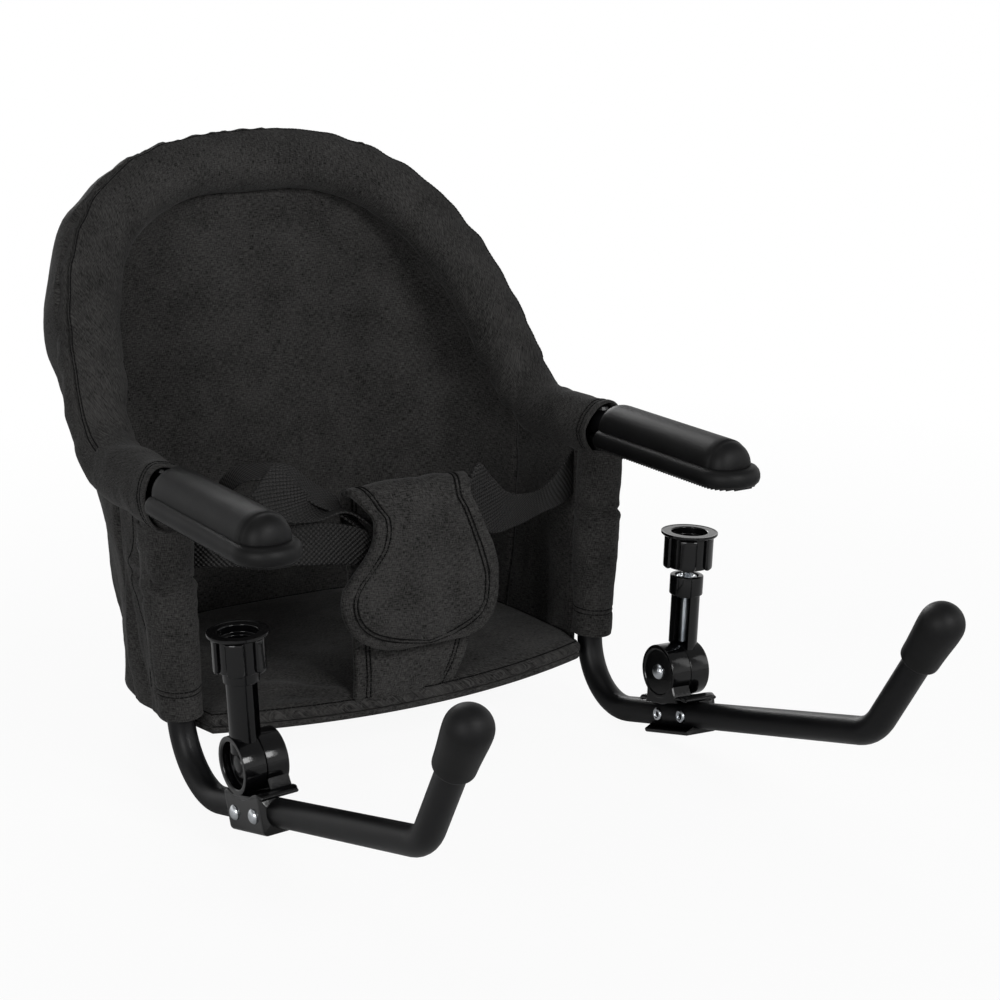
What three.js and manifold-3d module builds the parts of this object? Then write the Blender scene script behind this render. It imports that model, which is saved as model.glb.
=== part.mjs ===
// Hook-on baby table chair. Millimetres, +Z up, the table side is -Y.
// The origin lies midway between the two armrest soles, in the plane of the table top.
import * as THREE from 'three';
import { mergeVertices } from 'three/addons/utils/BufferGeometryUtils.js';
import Module from 'manifold-3d';

const wasm = await Module();
wasm.setup();

// Fits
const gap = 0.3;
const overrun = 2;
const weld = 0.2;
const merge_distance = 1e-4;
const round_sides = 20;
const tube_sides = 10;

// Frame tube and its side profile, measured from the corner where upright and run meet
const tube_r = 9.5;
const tube_wall = 1.5;
const arm_height = 14;
const arm_half = 177.6;
const corner_half = 167.6;
const corner_drop = 222.8;
const upright_back = 98;
const splay_angle = Math.atan2(arm_half - corner_half, corner_drop);
const toe_in = THREE.MathUtils.degToRad(0.8);
const corner_bend_r = 46;
const run_end = { y: -328, z: 84.6 };
const hook_bend_r = 34;
const hook_end = { y: -380, z: 169.5 };
const arm_front = -146;
const hoop_foot_y = 92;
const hoop_lean = THREE.MathUtils.degToRad(36);
const hoop_height = 234;
const hoop_power = 2.6;
const hoop_bend_r = 56;
const arm_screw_r = 3;
const arm_screw_length = 18;
const arm_screw_head_r = 6;
const arm_screw_head_top = 12.8;
const arm_screw_room = 0.4;
const plug_length = 21;
const plug_depth = 1;

// Armrest pads
const pad_front = -177.5;
const pad_rear = -20;
const pad_dome_r = 18;
const pad_flange_half = 23;
const pad_flange_top = 14;
const pad_tooth_height = 1.4;
const pad_edge_r = 4;
const pad_nose = 10;
const pad_nose_length = 12;
const pad_heel_length = 5;
const pad_dome_sink = 1;
const pad_sole_inset = 4;
const pad_sole_heel = 3;

// Tube end caps
const cap_r = 14.6;
const cap_length = 48;
const cap_depth = 31;
const cap_lip = 1;
const cap_lip_height = 5;
const cap_lip_end = 12;

// Table clamps, in a frame along the lower run
const pivot_y = -112;
const pivot_z = 62.5;
const barrel_r = 19.5;
const saddle_length = 52;
const saddle_wall = 3;
const saddle_outer = 13.6;
const saddle_overlap = 1;
const saddle_neck_inset = 4;
const hub_clearance = 0.4;
const hub_shoulder = 0.8;
const barrel_half = 16;
const pocket_r = 15.6;
const pocket_depth = 6.6;
const column_offset = 5;
const column_r = 10.3;
const column_top = 70.5;
const collar_r = 12;
const collar_height = 14;
const nut_r = 7.5;
const nut_height = 6.5;
const screw_r = 4;
const screw_length = 65;
const slot_width = 11;
const slot_low = 17;
const slot_land = 1;
const screw_room = 0.6;
const nut_room = 0.25;
const knob_clearance = 0.4;
const knob_room = 0.5;
const knob_flange_r = 20.3;
const knob_flange_height = 2.6;
const knob_r = 15;
const knob_height = 26;
const knob_cup_r = 13;
const knob_cup_depth = 14;
const knob_web = 5;
const grip_out = 17.6;
const grip_width = 9;
const grip_height = 19;
const grips = 5;
const rivet_r = 3.1;
const rivet_pitch = 28.6;
const rivet_head_r = 5.2;
const rivet_head_height = 2.9;
const rivet_tail_r = 4.6;
const rivet_tail_height = 1.4;
const pivot_rivet_r = 4;
const pivot_head_r = 5.6;
const pivot_head_height = 3.4;
const pivot_tail_r = 6;
const pivot_tail_height = 1.5;
const washer_r = 10;
const washer_thick = 1.6;
const knob_out = { left: 12.6, right: 0 };

// Fabric
const rim_in = 24;
const rim_shift = 5;
const rim_thick = 20;
const rim_back_shift = 3;
const sleeve_wide = 19;
const sleeve_tall = 22;
const sleeve_drop = 6;
const rim_start = -8;
const rim_rise = 60;
const upright_room_depth = 60;
const wrap_foot_half = 159.5;
const wrap_power = 3.4;
const wrap_thick = 6;
const back_thick = 9;
const wrap_low = 38;
const wrap_top = 206;
const wrap_front = 17;
const wrap_rise_low = 90;
const wrap_rise_over = 10;
const side_rear = 95;
const back_low_y = 211;
const back_slope = 0.065;
const upright_sleeve_half = 17;
const upright_sleeve_deep = 19;
const upright_sleeve_forward = 2;
const sleeve_flap_thick = 2.4;
const sleeve_flap_low = 66;
const sleeve_flap_high = 190;
const sleeve_flap_back = 49;
const sleeve_flap_bulge = 27;
const lining_room = 0.2;
const stud_r = 5.5;
const stud_thick = 1.6;
const stud_drop = 26;
const stud_back = 49;
const upright_sleeve_low = 60;
const upright_sleeve_high = 196;
const seat_low = 44;
const seat_half = 153;
const seat_rear_half = 158.5;
const seat_front = -13;
const seat_bow = 28;
const seat_rear = 208;
const seat_thick = 10;
const seat_crown = 6;
const seat_crown_inset = 60;
const seat_edge = 2;
const board_inset = 10;
const base_cloth_inset = 3;
const board_thick = 3;
const base_cloth_thick = 1.5;

// Harness
const strap_width = 27;
const strap_thick = 1.6;
const strap_low_y = -35.2;
const strap_low = 96;
const belt_end = { y: 25, z: 183 };
const crotch_foot_y = -31;
const crotch_top_y = -24;
const crotch_top_z = 208;
const crotch_roll = 8;
const crotch_thick = 7;
const crotch_foot_half = 36;
const crotch_top_half = 48;
const crotch_gap = 0.6;
const flap_y = -46;
const flap_low = 92;
const flap_half_top = 46;
const flap_half_low = 65;
const buckle = { y: -36.5, z: 156, half: 17, tall: 15, thick: 5.5 };
const tongue_reach = 12;
const tongue_grip = 11;
const tongue_play = 1;

const group = new THREE.Group();
group.name = 'hook_on_table_chair';

// Point given from the lower corner of the frame, moved into the part's own frame
function at(x, y, z) {
  return new THREE.Vector3(x, y + upright_back, z + arm_height - corner_drop);
}

function material(colour, roughness, metalness) {
  return new THREE.MeshStandardMaterial({ color: colour, roughness, metalness });
}

const finish = {
  steel: () => material(0x1c1c1d, 0.55, 0.3),
  plastic: () => material(0x141415, 0.22, 0),
  rubber: () => material(0x1b1b1c, 0.65, 0),
  zinc: () => material(0xb9bcc0, 0.32, 1),
  cloth: () => material(0x2a2a2c, 0.95, 0),
  webbing: () => material(0x171717, 0.9, 0),
  board: () => material(0x8a6b4a, 0.8, 0),
};

// A closed solid from rings of equal length; open chains get their two ends filled in strips
function loft(rings, looped) {
  const count = rings[0].length;
  const places = [];
  const faces = [];
  rings.forEach((ring) => ring.forEach((p) => places.push(p.x, p.y, p.z)));
  const last = looped ? rings.length : rings.length - 1;
  for (let i = 0; i < last; i += 1) {
    const next = (i + 1) % rings.length;
    for (let j = 0; j < count; j += 1) {
      const k = (j + 1) % count;
      faces.push(i * count + j, i * count + k, next * count + k);
      faces.push(i * count + j, next * count + k, next * count + j);
    }
  }
  if (!looped) {
    const fill = (base, flip) => {
      let low = 0;
      let high = count - 1;
      const add = (a, b, c) => (
        flip ? faces.push(base + a, base + c, base + b) : faces.push(base + a, base + b, base + c));
      while (high - low >= 2) {
        add(low, high, low + 1);
        low += 1;
        if (high - low >= 2) {
          add(low, high, high - 1);
          high -= 1;
        }
      }
    };
    fill(0, false);
    fill((rings.length - 1) * count, true);
  }
  const geometry = new THREE.BufferGeometry();
  geometry.setAttribute('position', new THREE.Float32BufferAttribute(places, 3));
  geometry.setIndex(faces);
  return outward(geometry);
}

// Turns the faces outwards when the signed volume is negative
function outward(geometry) {
  const place = geometry.getAttribute('position');
  const index = geometry.getIndex();
  const a = new THREE.Vector3();
  const b = new THREE.Vector3();
  const c = new THREE.Vector3();
  let volume = 0;
  for (let i = 0; i < index.count; i += 3) {
    a.fromBufferAttribute(place, index.getX(i));
    b.fromBufferAttribute(place, index.getX(i + 1));
    c.fromBufferAttribute(place, index.getX(i + 2));
    volume += a.dot(b.cross(c));
  }
  if (volume < 0) {
    for (let i = 0; i < index.count; i += 3) {
      const second = index.getX(i + 1);
      index.setX(i + 1, index.getX(i + 2));
      index.setX(i + 2, second);
    }
  }
  geometry.computeVertexNormals();
  return geometry;
}

function solid(geometry) {
  const bare = geometry.clone();
  bare.deleteAttribute('normal');
  bare.deleteAttribute('uv');
  const merged = mergeVertices(bare, merge_distance);
  return new wasm.Manifold(new wasm.Mesh({
    numProp: 3,
    vertProperties: new Float32Array(merged.getAttribute('position').array),
    triVerts: new Uint32Array(merged.getIndex().array),
  }));
}

function mesh_of(body) {
  const out = body.getMesh();
  const geometry = new THREE.BufferGeometry();
  geometry.setAttribute('position', new THREE.Float32BufferAttribute(out.vertProperties, 3));
  geometry.setIndex(Array.from(out.triVerts));
  geometry.computeVertexNormals();
  return geometry;
}

function united(...geometries) {
  return mesh_of(geometries.map(solid).reduce((sum, body) => sum.add(body)));
}

function cut(geometry, ...tools) {
  return mesh_of(tools.map(solid).reduce((rest, tool) => rest.subtract(tool), solid(geometry)));
}

function box(x0, x1, y0, y1, z0, z1) {
  const geometry = new THREE.BoxGeometry(x1 - x0, y1 - y0, z1 - z0);
  geometry.translate((x0 + x1) / 2, (y0 + y1) / 2, (z0 + z1) / 2);
  return geometry;
}

// Cylinder from a to b along X, centred at (y, z)
function rod_x(a, b, y, z, r, sides = round_sides) {
  const geometry = new THREE.CylinderGeometry(r, r, Math.abs(b - a), sides);
  geometry.rotateZ(Math.PI / 2);
  geometry.translate((a + b) / 2, y, z);
  return geometry;
}

// Cylinder from a to b along Z, centred at (x, y)
function rod_z(a, b, x, y, r, sides = round_sides) {
  const geometry = new THREE.CylinderGeometry(r, r, Math.abs(b - a), sides);
  geometry.rotateX(Math.PI / 2);
  geometry.translate(x, y, (a + b) / 2);
  return geometry;
}

// Turned body about Z from [radius, height] pairs that close on themselves or end on the axis
function turned(profile, sides = round_sides) {
  const geometry = new THREE.LatheGeometry(profile.map(([r, z]) => new THREE.Vector2(r, z)), sides);
  geometry.rotateX(Math.PI / 2);
  const bare = geometry.clone();
  bare.deleteAttribute('normal');
  bare.deleteAttribute('uv');
  return outward(whole(mergeVertices(bare, merge_distance)));
}

// Drops the faces that shrink to a line on the axis
function whole(geometry) {
  const index = geometry.getIndex();
  const kept = [];
  for (let i = 0; i < index.count; i += 3) {
    const [a, b, c] = [index.getX(i), index.getX(i + 1), index.getX(i + 2)];
    if (a !== b && b !== c && a !== c) kept.push(a, b, c);
  }
  geometry.setIndex(kept);
  return geometry;
}

function add(name, geometry, look, parent = group) {
  const mesh = new THREE.Mesh(geometry, look);
  mesh.name = name;
  parent.add(mesh);
  return mesh;
}

// Frames carried along a path without twist: tangent t, first normal n, second normal b
function carried(points, first_normal) {
  const frames = [];
  let normal = first_normal.clone();
  points.forEach((point, i) => {
    const before = points[Math.max(i - 1, 0)];
    const after = points[Math.min(i + 1, points.length - 1)];
    const t = after.clone().sub(before).normalize();
    normal.addScaledVector(t, -normal.dot(t)).normalize();
    frames.push({ point, t, n: normal.clone(), b: t.clone().cross(normal) });
    normal = normal.clone();
  });
  return frames;
}

function ellipse_ring(frame, a, c, shift_n, shift_b, sides) {
  const ring = [];
  for (let i = 0; i < sides; i += 1) {
    const angle = (2 * Math.PI * i) / sides;
    ring.push(frame.point.clone()
      .addScaledVector(frame.n, shift_n + a * Math.cos(angle))
      .addScaledVector(frame.b, shift_b + c * Math.sin(angle)));
  }
  return ring;
}

// Hollow tube along frames
function tube_along(frames, outer, inner, sides = tube_sides) {
  const skin = frames.map((f) => ellipse_ring(f, outer, outer, 0, 0, sides));
  const bore = frames.map((f) => ellipse_ring(f, inner, inner, 0, 0, sides)).reverse();
  return loft([...skin, ...bore], true);
}

// Corner points of a polyline in a plane rounded with arcs; steps points on each arc
function rounded(corners, steps) {
  const points = [corners[0].point.clone()];
  for (let i = 1; i < corners.length - 1; i += 1) {
    const { point, r } = corners[i];
    const back = corners[i - 1].point.clone().sub(point).normalize();
    const on = corners[i + 1].point.clone().sub(point).normalize();
    const half = back.angleTo(on) / 2;
    const reach = r / Math.tan(half);
    const centre = point.clone().add(back.clone().add(on).normalize().multiplyScalar(r / Math.sin(half)));
    const from = point.clone().addScaledVector(back, reach).sub(centre);
    const to = point.clone().addScaledVector(on, reach).sub(centre);
    const turn = from.angleTo(to);
    for (let j = 0; j <= steps; j += 1) {
      const s = j / steps;
      const p = from.clone().multiplyScalar(Math.sin((1 - s) * turn) / Math.sin(turn))
        .addScaledVector(to, Math.sin(s * turn) / Math.sin(turn));
      points.push(centre.clone().add(p));
    }
  }
  points.push(corners[corners.length - 1].point.clone());
  return points;
}

// Half-width of the hoop centreline at a height in the hoop's plane
function hoop_half(h) {
  return arm_half * (1 - (h / hoop_height) ** hoop_power) ** (1 / hoop_power);
}

function hoop_point(x, h) {
  return at(x, hoop_foot_y + h * Math.sin(hoop_lean), corner_drop + h * Math.cos(hoop_lean));
}

// Upper tube: both arms and the backrest hoop in one bent piece
function upper_path() {
  const foot_share = hoop_bend_r * Math.tan((Math.PI / 2 - hoop_lean) / 2);
  const side = rounded([
    { point: at(-arm_half, arm_front, corner_drop) },
    { point: at(-arm_half, hoop_foot_y, corner_drop), r: hoop_bend_r },
    { point: hoop_point(-arm_half, foot_share * 1.02) },
  ], 5);
  side.splice(1, 0, at(-arm_half, pad_rear, corner_drop), at(-arm_half, rim_start, corner_drop));
  side.pop();
  const arch = [];
  const steps = 11;
  for (let i = 1; i <= steps; i += 1) {
    const angle = (Math.PI / 2) * (i / steps);
    const h = hoop_height * Math.sin(angle) ** (2 / hoop_power);
    if (h > foot_share * 1.3) arch.push(hoop_point(-hoop_half(Math.min(h, hoop_height)), h));
  }
  const left = [...side, ...arch];
  const right = left.slice(0, -1).reverse().map((p) => new THREE.Vector3(-p.x, p.y, p.z));
  return [...left, ...right];
}

const hoop_frames = carried(upper_path(), new THREE.Vector3(1, 0, 0));
const arm_hole = (side) => {
  const hole = rod_z(-tube_r - overrun, tube_r + overrun, 0, 0, arm_screw_r + gap, 12);
  const centre = at(side * arm_half, 0, corner_drop);
  hole.rotateY(side * splay_angle);
  hole.translate(centre.x, centre.y, centre.z);
  return hole;
};
const bare_upper_tube = tube_along(hoop_frames, tube_r, tube_r - tube_wall);
add('upper_frame_tube', cut(bare_upper_tube, arm_hole(-1), arm_hole(1)), finish.steel());

// Padded rim: one sleeve of cloth round arms and hoop
function rim(grow, from_start) {
  const frames = hoop_frames.slice(from_start, hoop_frames.length - from_start);
  const skin = frames.map((f) => {
    const rise = THREE.MathUtils.clamp((f.point.z - arm_height) / rim_rise, 0, 1);
    const a = THREE.MathUtils.lerp(sleeve_wide, rim_in, rise) + grow;
    const c = THREE.MathUtils.lerp(sleeve_tall, rim_thick, rise) + grow;
    const inwards = THREE.MathUtils.lerp(0, rim_shift, rise);
    const back = THREE.MathUtils.lerp(sleeve_drop, rim_back_shift, rise);
    return ellipse_ring(f, a, c, inwards, back, tube_sides);
  });
  if (grow > 0) return loft(skin, false);
  const bore = frames.map((f) => ellipse_ring(f, tube_r + gap, tube_r + gap, 0, 0, tube_sides)).reverse();
  return loft([...skin, ...bore], true);
}

// Room in the rim for an upright's top and for the head of its screw
function upright_room(side) {
  const room = united(
    rod_z(corner_drop - upright_room_depth, corner_drop, 0, 0, tube_r + gap),
    rod_z(
      corner_drop - overrun,
      corner_drop + arm_screw_head_top + 2 * gap,
      0,
      0,
      arm_screw_head_r + 2 * gap,
      12,
    ),
  );
  room.translate(0, 0, -corner_drop);
  room.rotateY(side * splay_angle);
  const top = at(side * arm_half, 0, corner_drop);
  room.translate(top.x, top.y, top.z);
  return room;
}

const rim_first = 2;
add('back_rim', cut(rim(0, rim_first), upright_room(-1), upright_room(1)), finish.cloth());
const rim_space = rim(gap, rim_first);

// Plan curve of the seat's wrap at one height; share runs from -1 (left front) to 1 (right front)
function wrap_point(share, half, front, rear, z) {
  const angle = (share * Math.PI) / 2;
  const x = half * Math.sign(share) * Math.abs(Math.sin(angle)) ** (2 / wrap_power);
  const y = front + (rear - front) * Math.abs(Math.cos(angle)) ** (2 / wrap_power);
  return at(x, y, z);
}

// Sheet of cloth: rows of points thickened both ways along their normals
function sheet(rows, thick) {
  const normal_at = (i, j) => {
    const left = rows[i][Math.max(j - 1, 0)];
    const right = rows[i][Math.min(j + 1, rows[i].length - 1)];
    const below = rows[Math.max(i - 1, 0)][j];
    const above = rows[Math.min(i + 1, rows.length - 1)][j];
    return right.clone().sub(left).cross(above.clone().sub(below)).normalize();
  };
  const rings = rows.map((row, i) => {
    const front = row.map((p, j) => p.clone().addScaledVector(normal_at(i, j), thick / 2));
    const back = row.map((p, j) => p.clone().addScaledVector(normal_at(i, j), -thick / 2)).reverse();
    return [...front, ...back];
  });
  return loft(rings, false);
}

const back_rear = (z) => back_low_y + back_slope * (z - seat_low);
const wrap_half = (z) => wrap_foot_half + z * Math.tan(splay_angle);
const wrap_level = (share) => wrap_low + (wrap_top - wrap_low) * share;

// Width of the plan curve, as a share of its half-width, at a given distance back
function width_share(front, rear, y) {
  return (1 - ((y - front) / (rear - front)) ** wrap_power) ** (1 / wrap_power);
}

// Share of the plan curve at which it reaches a given distance back
function share_at(front, rear, y) {
  const part = ((y - front) / (rear - front)) ** (wrap_power / 2);
  return (2 / Math.PI) * Math.acos(THREE.MathUtils.clamp(part, 0, 1));
}

function back_rows(grow) {
  const rows = [];
  const cells = 18;
  const row = (share, half, front, z) => (
    Array.from({ length: cells + 1 }, (_, i) => (
      wrap_point(share * ((2 * i) / cells - 1), half, front, back_rear(z), z))));
  [0, 0.22, 0.43, 0.64, 0.83, 1].map(wrap_level).forEach((z) => {
    const rise = THREE.MathUtils.smoothstep(z, wrap_rise_low, corner_drop + wrap_rise_over);
    const front = THREE.MathUtils.lerp(wrap_front, hoop_foot_y, rise);
    const edge = side_rear + gap - grow;
    const beside = wrap_half(z) * width_share(wrap_front, back_rear(z), side_rear);
    const half = beside / width_share(front, back_rear(z), side_rear);
    rows.push(row(share_at(front, back_rear(z), edge), half, front, z));
  });
  [0.03, 0.14, 0.3, 0.46, 0.62, 0.76, 0.88, 0.95].forEach((rise) => {
    const h = hoop_height * rise;
    const z = corner_drop + h * Math.cos(hoop_lean);
    rows.push(row(1, hoop_half(h), hoop_foot_y + h * Math.sin(hoop_lean), z));
  });
  return rows;
}

add('back_panel', cut(sheet(back_rows(0), back_thick), rim_space), finish.cloth());
const wrap_spaces = [sheet(back_rows(overrun), back_thick + 2 * gap)];

for (const [name, side] of [['left', 1], ['right', -1]]) {
  const cells = 8;
  const rows = [0, 0.25, 0.55, 0.85, 1].map(wrap_level).map((z) => {
    const rear = back_rear(z);
    const reach = share_at(wrap_front, rear, side_rear - gap);
    return Array.from({ length: cells + 1 }, (_, i) => (
      wrap_point(side * (1 - (1 - reach) * (i / cells)), wrap_half(z), wrap_front, rear, z)));
  });
  add(`${name}_side_panel`, cut(sheet(rows, wrap_thick), rim_space), finish.cloth());
  wrap_spaces.push(sheet(rows, wrap_thick + 2 * gap));
  const stud = turned([
    [0, 0], [stud_r, 0], [stud_r, stud_thick * 0.6], [stud_r * 0.72, stud_thick], [0, stud_thick],
  ], 14);
  stud.rotateY(side * (Math.PI / 2 + splay_angle));
  const stud_height = upright_sleeve_high - stud_drop;
  const stud_out = wrap_half(stud_height) + wrap_thick / 2 + sleeve_flap_thick + 2 * gap;
  const stud_place = at(side * stud_out, stud_back, stud_height);
  add(`${name}_press_stud`, stud, finish.plastic()).position.copy(stud_place);
}

// Flap of an upright's sleeve, laid back over the outer face of the side panel
function sleeve_flap(side) {
  const root = upright_sleeve_deep * 0.65;
  const edge = [
    [0, 0], [0.13, 0.04], [0.27, 0.11], [0.4, 0.63], [0.51, 1], [0.68, 1], [0.82, 0.81], [1, 0.56],
  ].map(([rise, reach]) => [
    THREE.MathUtils.lerp(sleeve_flap_low, sleeve_flap_high, rise),
    sleeve_flap_back + sleeve_flap_bulge * reach,
  ]);
  const cells = 4;
  return sheet(edge.map(([z, end]) => Array.from({ length: cells + 1 }, (_, i) => {
    const y = THREE.MathUtils.lerp(root, end, i / cells);
    const beside = wrap_half(z) * width_share(wrap_front, back_rear(z), Math.max(y, wrap_front));
    return at(side * (beside + (wrap_thick + sleeve_flap_thick) / 2 + gap), y, z);
  })), sleeve_flap_thick);
}

// Seat: outline points, padded top, stiff board and base cloth
function seat_outline(inset) {
  const points = [];
  const bow = 8;
  for (let i = 0; i <= bow; i += 1) {
    const share = (2 * i) / bow - 1;
    points.push([(seat_half - inset) * share, seat_front + inset - seat_bow * (1 - share * share)]);
  }
  const cells = 12;
  for (let i = 0; i <= cells; i += 1) {
    const p = wrap_point(1 - (2 * i) / cells, seat_rear_half - inset, wrap_front, seat_rear - inset, 0);
    points.push([p.x, p.y - upright_back]);
  }
  return points;
}

function seat_ring(inset, z) {
  return seat_outline(inset).map(([x, y]) => at(x, y, z));
}

const base_top = seat_low + base_cloth_thick;
const board_low = base_top + gap;
const pad_low = board_low + board_thick + gap;
const crown_shares = [0.2, 0.57, 1];
const pad_rings = (grow) => [
  seat_ring(seat_edge - grow, pad_low),
  seat_ring(-grow, pad_low + seat_thick * 0.4),
  seat_ring(seat_edge - grow, pad_low + seat_thick * 0.85 + grow),
  ...crown_shares.map((share, i) => seat_ring(
    seat_crown_inset * share - grow,
    pad_low + seat_thick + (seat_crown * (i + 1)) / crown_shares.length + grow,
  )),
];
add('seat_pad', cut(loft(pad_rings(0), false), ...wrap_spaces), finish.cloth());
const seat_space = loft(pad_rings(gap), false);
const board_rings = [seat_ring(board_inset, board_low), seat_ring(board_inset, board_low + board_thick)];
add('seat_board', loft(board_rings, false), finish.board());
const base_rings = [seat_ring(base_cloth_inset, seat_low), seat_ring(base_cloth_inset, base_top)];
add('seat_base_cloth', loft(base_rings, false), finish.cloth());

// Lower frame of one side with its cap, clamp and sleeve; o counts outwards from the tube's centre plane
function side_frame(name, side) {
  const frame = new THREE.Group();
  frame.name = `${name}_side`;
  frame.position.copy(at(side * corner_half, 0, 0));
  frame.rotation.set(0, side * splay_angle, -side * toe_in);
  group.add(frame);
  const run_angle = Math.atan2(run_end.z, -run_end.y);
  const hook_angle = Math.atan2(hook_end.z - run_end.z, run_end.y - hook_end.y);
  const upright_top = corner_drop / Math.cos(splay_angle) - tube_r - gap;
  const path = rounded([
    { point: new THREE.Vector3(0, 0, upright_top) },
    { point: new THREE.Vector3(0, 0, 0), r: corner_bend_r },
    { point: new THREE.Vector3(0, run_end.y, run_end.z), r: hook_bend_r },
    { point: new THREE.Vector3(0, hook_end.y, hook_end.z) },
  ], 6);
  const frames = carried(path, new THREE.Vector3(1, 0, 0));

  // Clamp frame: u along the run from the pivot's foot, w square to it
  const foot = new THREE.Vector3(0, pivot_y, pivot_z);
  const along = new THREE.Vector3(0, -Math.cos(run_angle), Math.sin(run_angle));
  const foot_u = foot.dot(along);
  const clamp = new THREE.Group();
  clamp.position.copy(along.clone().multiplyScalar(foot_u));
  clamp.rotation.x = -run_angle;
  clamp.name = `${name}_clamp_seat`;
  frame.add(clamp);
  const pivot_w = foot.clone().sub(clamp.position).length();

  // The clamp frame's y axis points back along the run, so front is -y
  const x = (o) => side * o;
  const bar = (o0, o1, y0, y1, z0, z1) => (
    box(Math.min(x(o0), x(o1)), Math.max(x(o0), x(o1)), y0, y1, z0, z1));
  const half = saddle_length / 2;
  const shell = tube_r + gap;
  const rivet_hole = (y) => rod_x(x(-saddle_outer), x(saddle_outer + overrun), y, 0, rivet_r + gap, 10);
  const channel = new THREE.CylinderGeometry(shell, shell, saddle_length + 2 * overrun, tube_sides);
  channel.rotateY(Math.PI / tube_sides);
  const block = cut(
    united(
      bar(-saddle_overlap, saddle_outer, -half, half, -shell - saddle_wall, shell + saddle_wall),
      bar(-barrel_half, 0, -half, half, shell, shell + saddle_wall),
      bar(-saddle_outer, 0, -half, half, -shell - saddle_wall, -shell),
    ),
    channel,
    rivet_hole(-rivet_pitch / 2),
    rivet_hole(rivet_pitch / 2),
  );
  const neck = [];
  const neck_steps = 4;
  for (let i = 0; i <= neck_steps; i += 1) {
    const share = i / neck_steps;
    const narrowing = Math.sin((share * Math.PI) / 2);
    const wide = THREE.MathUtils.lerp(half - saddle_neck_inset, barrel_r * 0.72, narrowing);
    const rise = share * share * 0.5 + share * 0.5;
    const z = THREE.MathUtils.lerp(shell + saddle_wall - weld, pivot_w - saddle_neck_inset, rise);
    neck.push([
      new THREE.Vector3(x(-barrel_half), -wide, z), new THREE.Vector3(x(-gap), -wide, z),
      new THREE.Vector3(x(-gap), wide, z), new THREE.Vector3(x(-barrel_half), wide, z),
    ]);
  }
  const hub_space = rod_x(x(0), x(barrel_half + overrun), 0, pivot_w, barrel_r + hub_clearance);
  const saddle = cut(
    united(block, loft(neck, false), rod_x(x(-barrel_half), x(-gap), 0, pivot_w, barrel_r)),
    rod_x(x(-barrel_half - overrun), x(overrun), 0, pivot_w, pivot_rivet_r + gap, 12),
    hub_space,
  );
  add(`${name}_clamp_saddle`, saddle, finish.plastic(), clamp);

  for (const [place, y] of [['front', -rivet_pitch / 2], ['rear', rivet_pitch / 2]]) {
    const head = turned([
      [0, 0], [rivet_head_r, 0], [rivet_head_r * 0.88, rivet_head_height * 0.55],
      [rivet_head_r * 0.5, rivet_head_height * 0.9], [0, rivet_head_height],
    ], 12);
    head.rotateY(side * Math.PI / 2);
    head.translate(x(saddle_outer + gap), y, 0);
    const tail = turned([
      [0, 0], [rivet_tail_r, 0], [rivet_tail_r * 0.91, rivet_tail_height * 0.86],
      [rivet_tail_r * 0.52, rivet_tail_height], [rivet_tail_r * 0.43, rivet_tail_height * 0.43],
      [0, rivet_tail_height * 0.43],
    ], 12);
    tail.rotateY(-side * Math.PI / 2);
    tail.translate(x(-tube_r - gap), y, 0);
    const shank = rod_x(x(-tube_r - gap - weld), x(saddle_outer + gap + weld), y, 0, rivet_r, 10);
    add(`${name}_${place}_rivet`, united(shank, head, tail), finish.zinc(), clamp);
  }

  const tube_holes = [-rivet_pitch / 2, rivet_pitch / 2].map((y) => {
    const hole = rod_x(-tube_r - overrun, tube_r + overrun, y, 0, rivet_r + gap, 10);
    hole.rotateX(-run_angle);
    hole.translate(clamp.position.x, clamp.position.y, clamp.position.z);
    return hole;
  });
  const tube = cut(tube_along(frames, tube_r, tube_r - tube_wall), ...tube_holes);
  add(`${name}_lower_frame_tube`, tube, finish.steel(), frame);

  // Rubber cap over the turned-up end
  const cap = add(`${name}_tube_end_cap`, turned([
    [tube_r + gap, 0], [cap_r + cap_lip, 0], [cap_r + cap_lip, cap_lip_height], [cap_r, cap_lip_end],
    [cap_r, cap_length - cap_r], [cap_r * 0.87, cap_length - cap_r * 0.5],
    [cap_r * 0.5, cap_length - cap_r * 0.13], [0, cap_length], [0, cap_depth + gap],
    [tube_r + gap, cap_depth + gap], [tube_r + gap, 0],
  ], 16), finish.rubber(), frame);
  cap.rotation.x = Math.PI / 2 - hook_angle;
  cap.position.set(
    0,
    hook_end.y + cap_depth * Math.cos(hook_angle),
    hook_end.z - cap_depth * Math.sin(hook_angle),
  );

  // Threaded plug in the upright's top, and the screw that pulls the arm down on it
  const plug_r = tube_r - tube_wall - gap;
  add(`${name}_upright_plug`, cut(
    rod_z(upright_top - plug_depth - plug_length, upright_top - plug_depth, 0, 0, plug_r * 0.94, 12),
    rod_z(
      upright_top - plug_depth - plug_length - overrun,
      upright_top + overrun,
      0,
      0,
      arm_screw_r + arm_screw_room,
      10,
    ),
  ), finish.zinc(), frame);
  add(`${name}_arm_screw`, united(
    rod_z(-arm_screw_length, tube_r + gap + weld, 0, 0, arm_screw_r, 10),
    turned([
      [0, tube_r + gap], [arm_screw_head_r, tube_r + gap],
      [arm_screw_head_r * 0.83, arm_screw_head_top * 0.94], [0, arm_screw_head_top],
    ], 12),
  ), finish.zinc(), frame).position.z = corner_drop / Math.cos(splay_angle);

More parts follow.
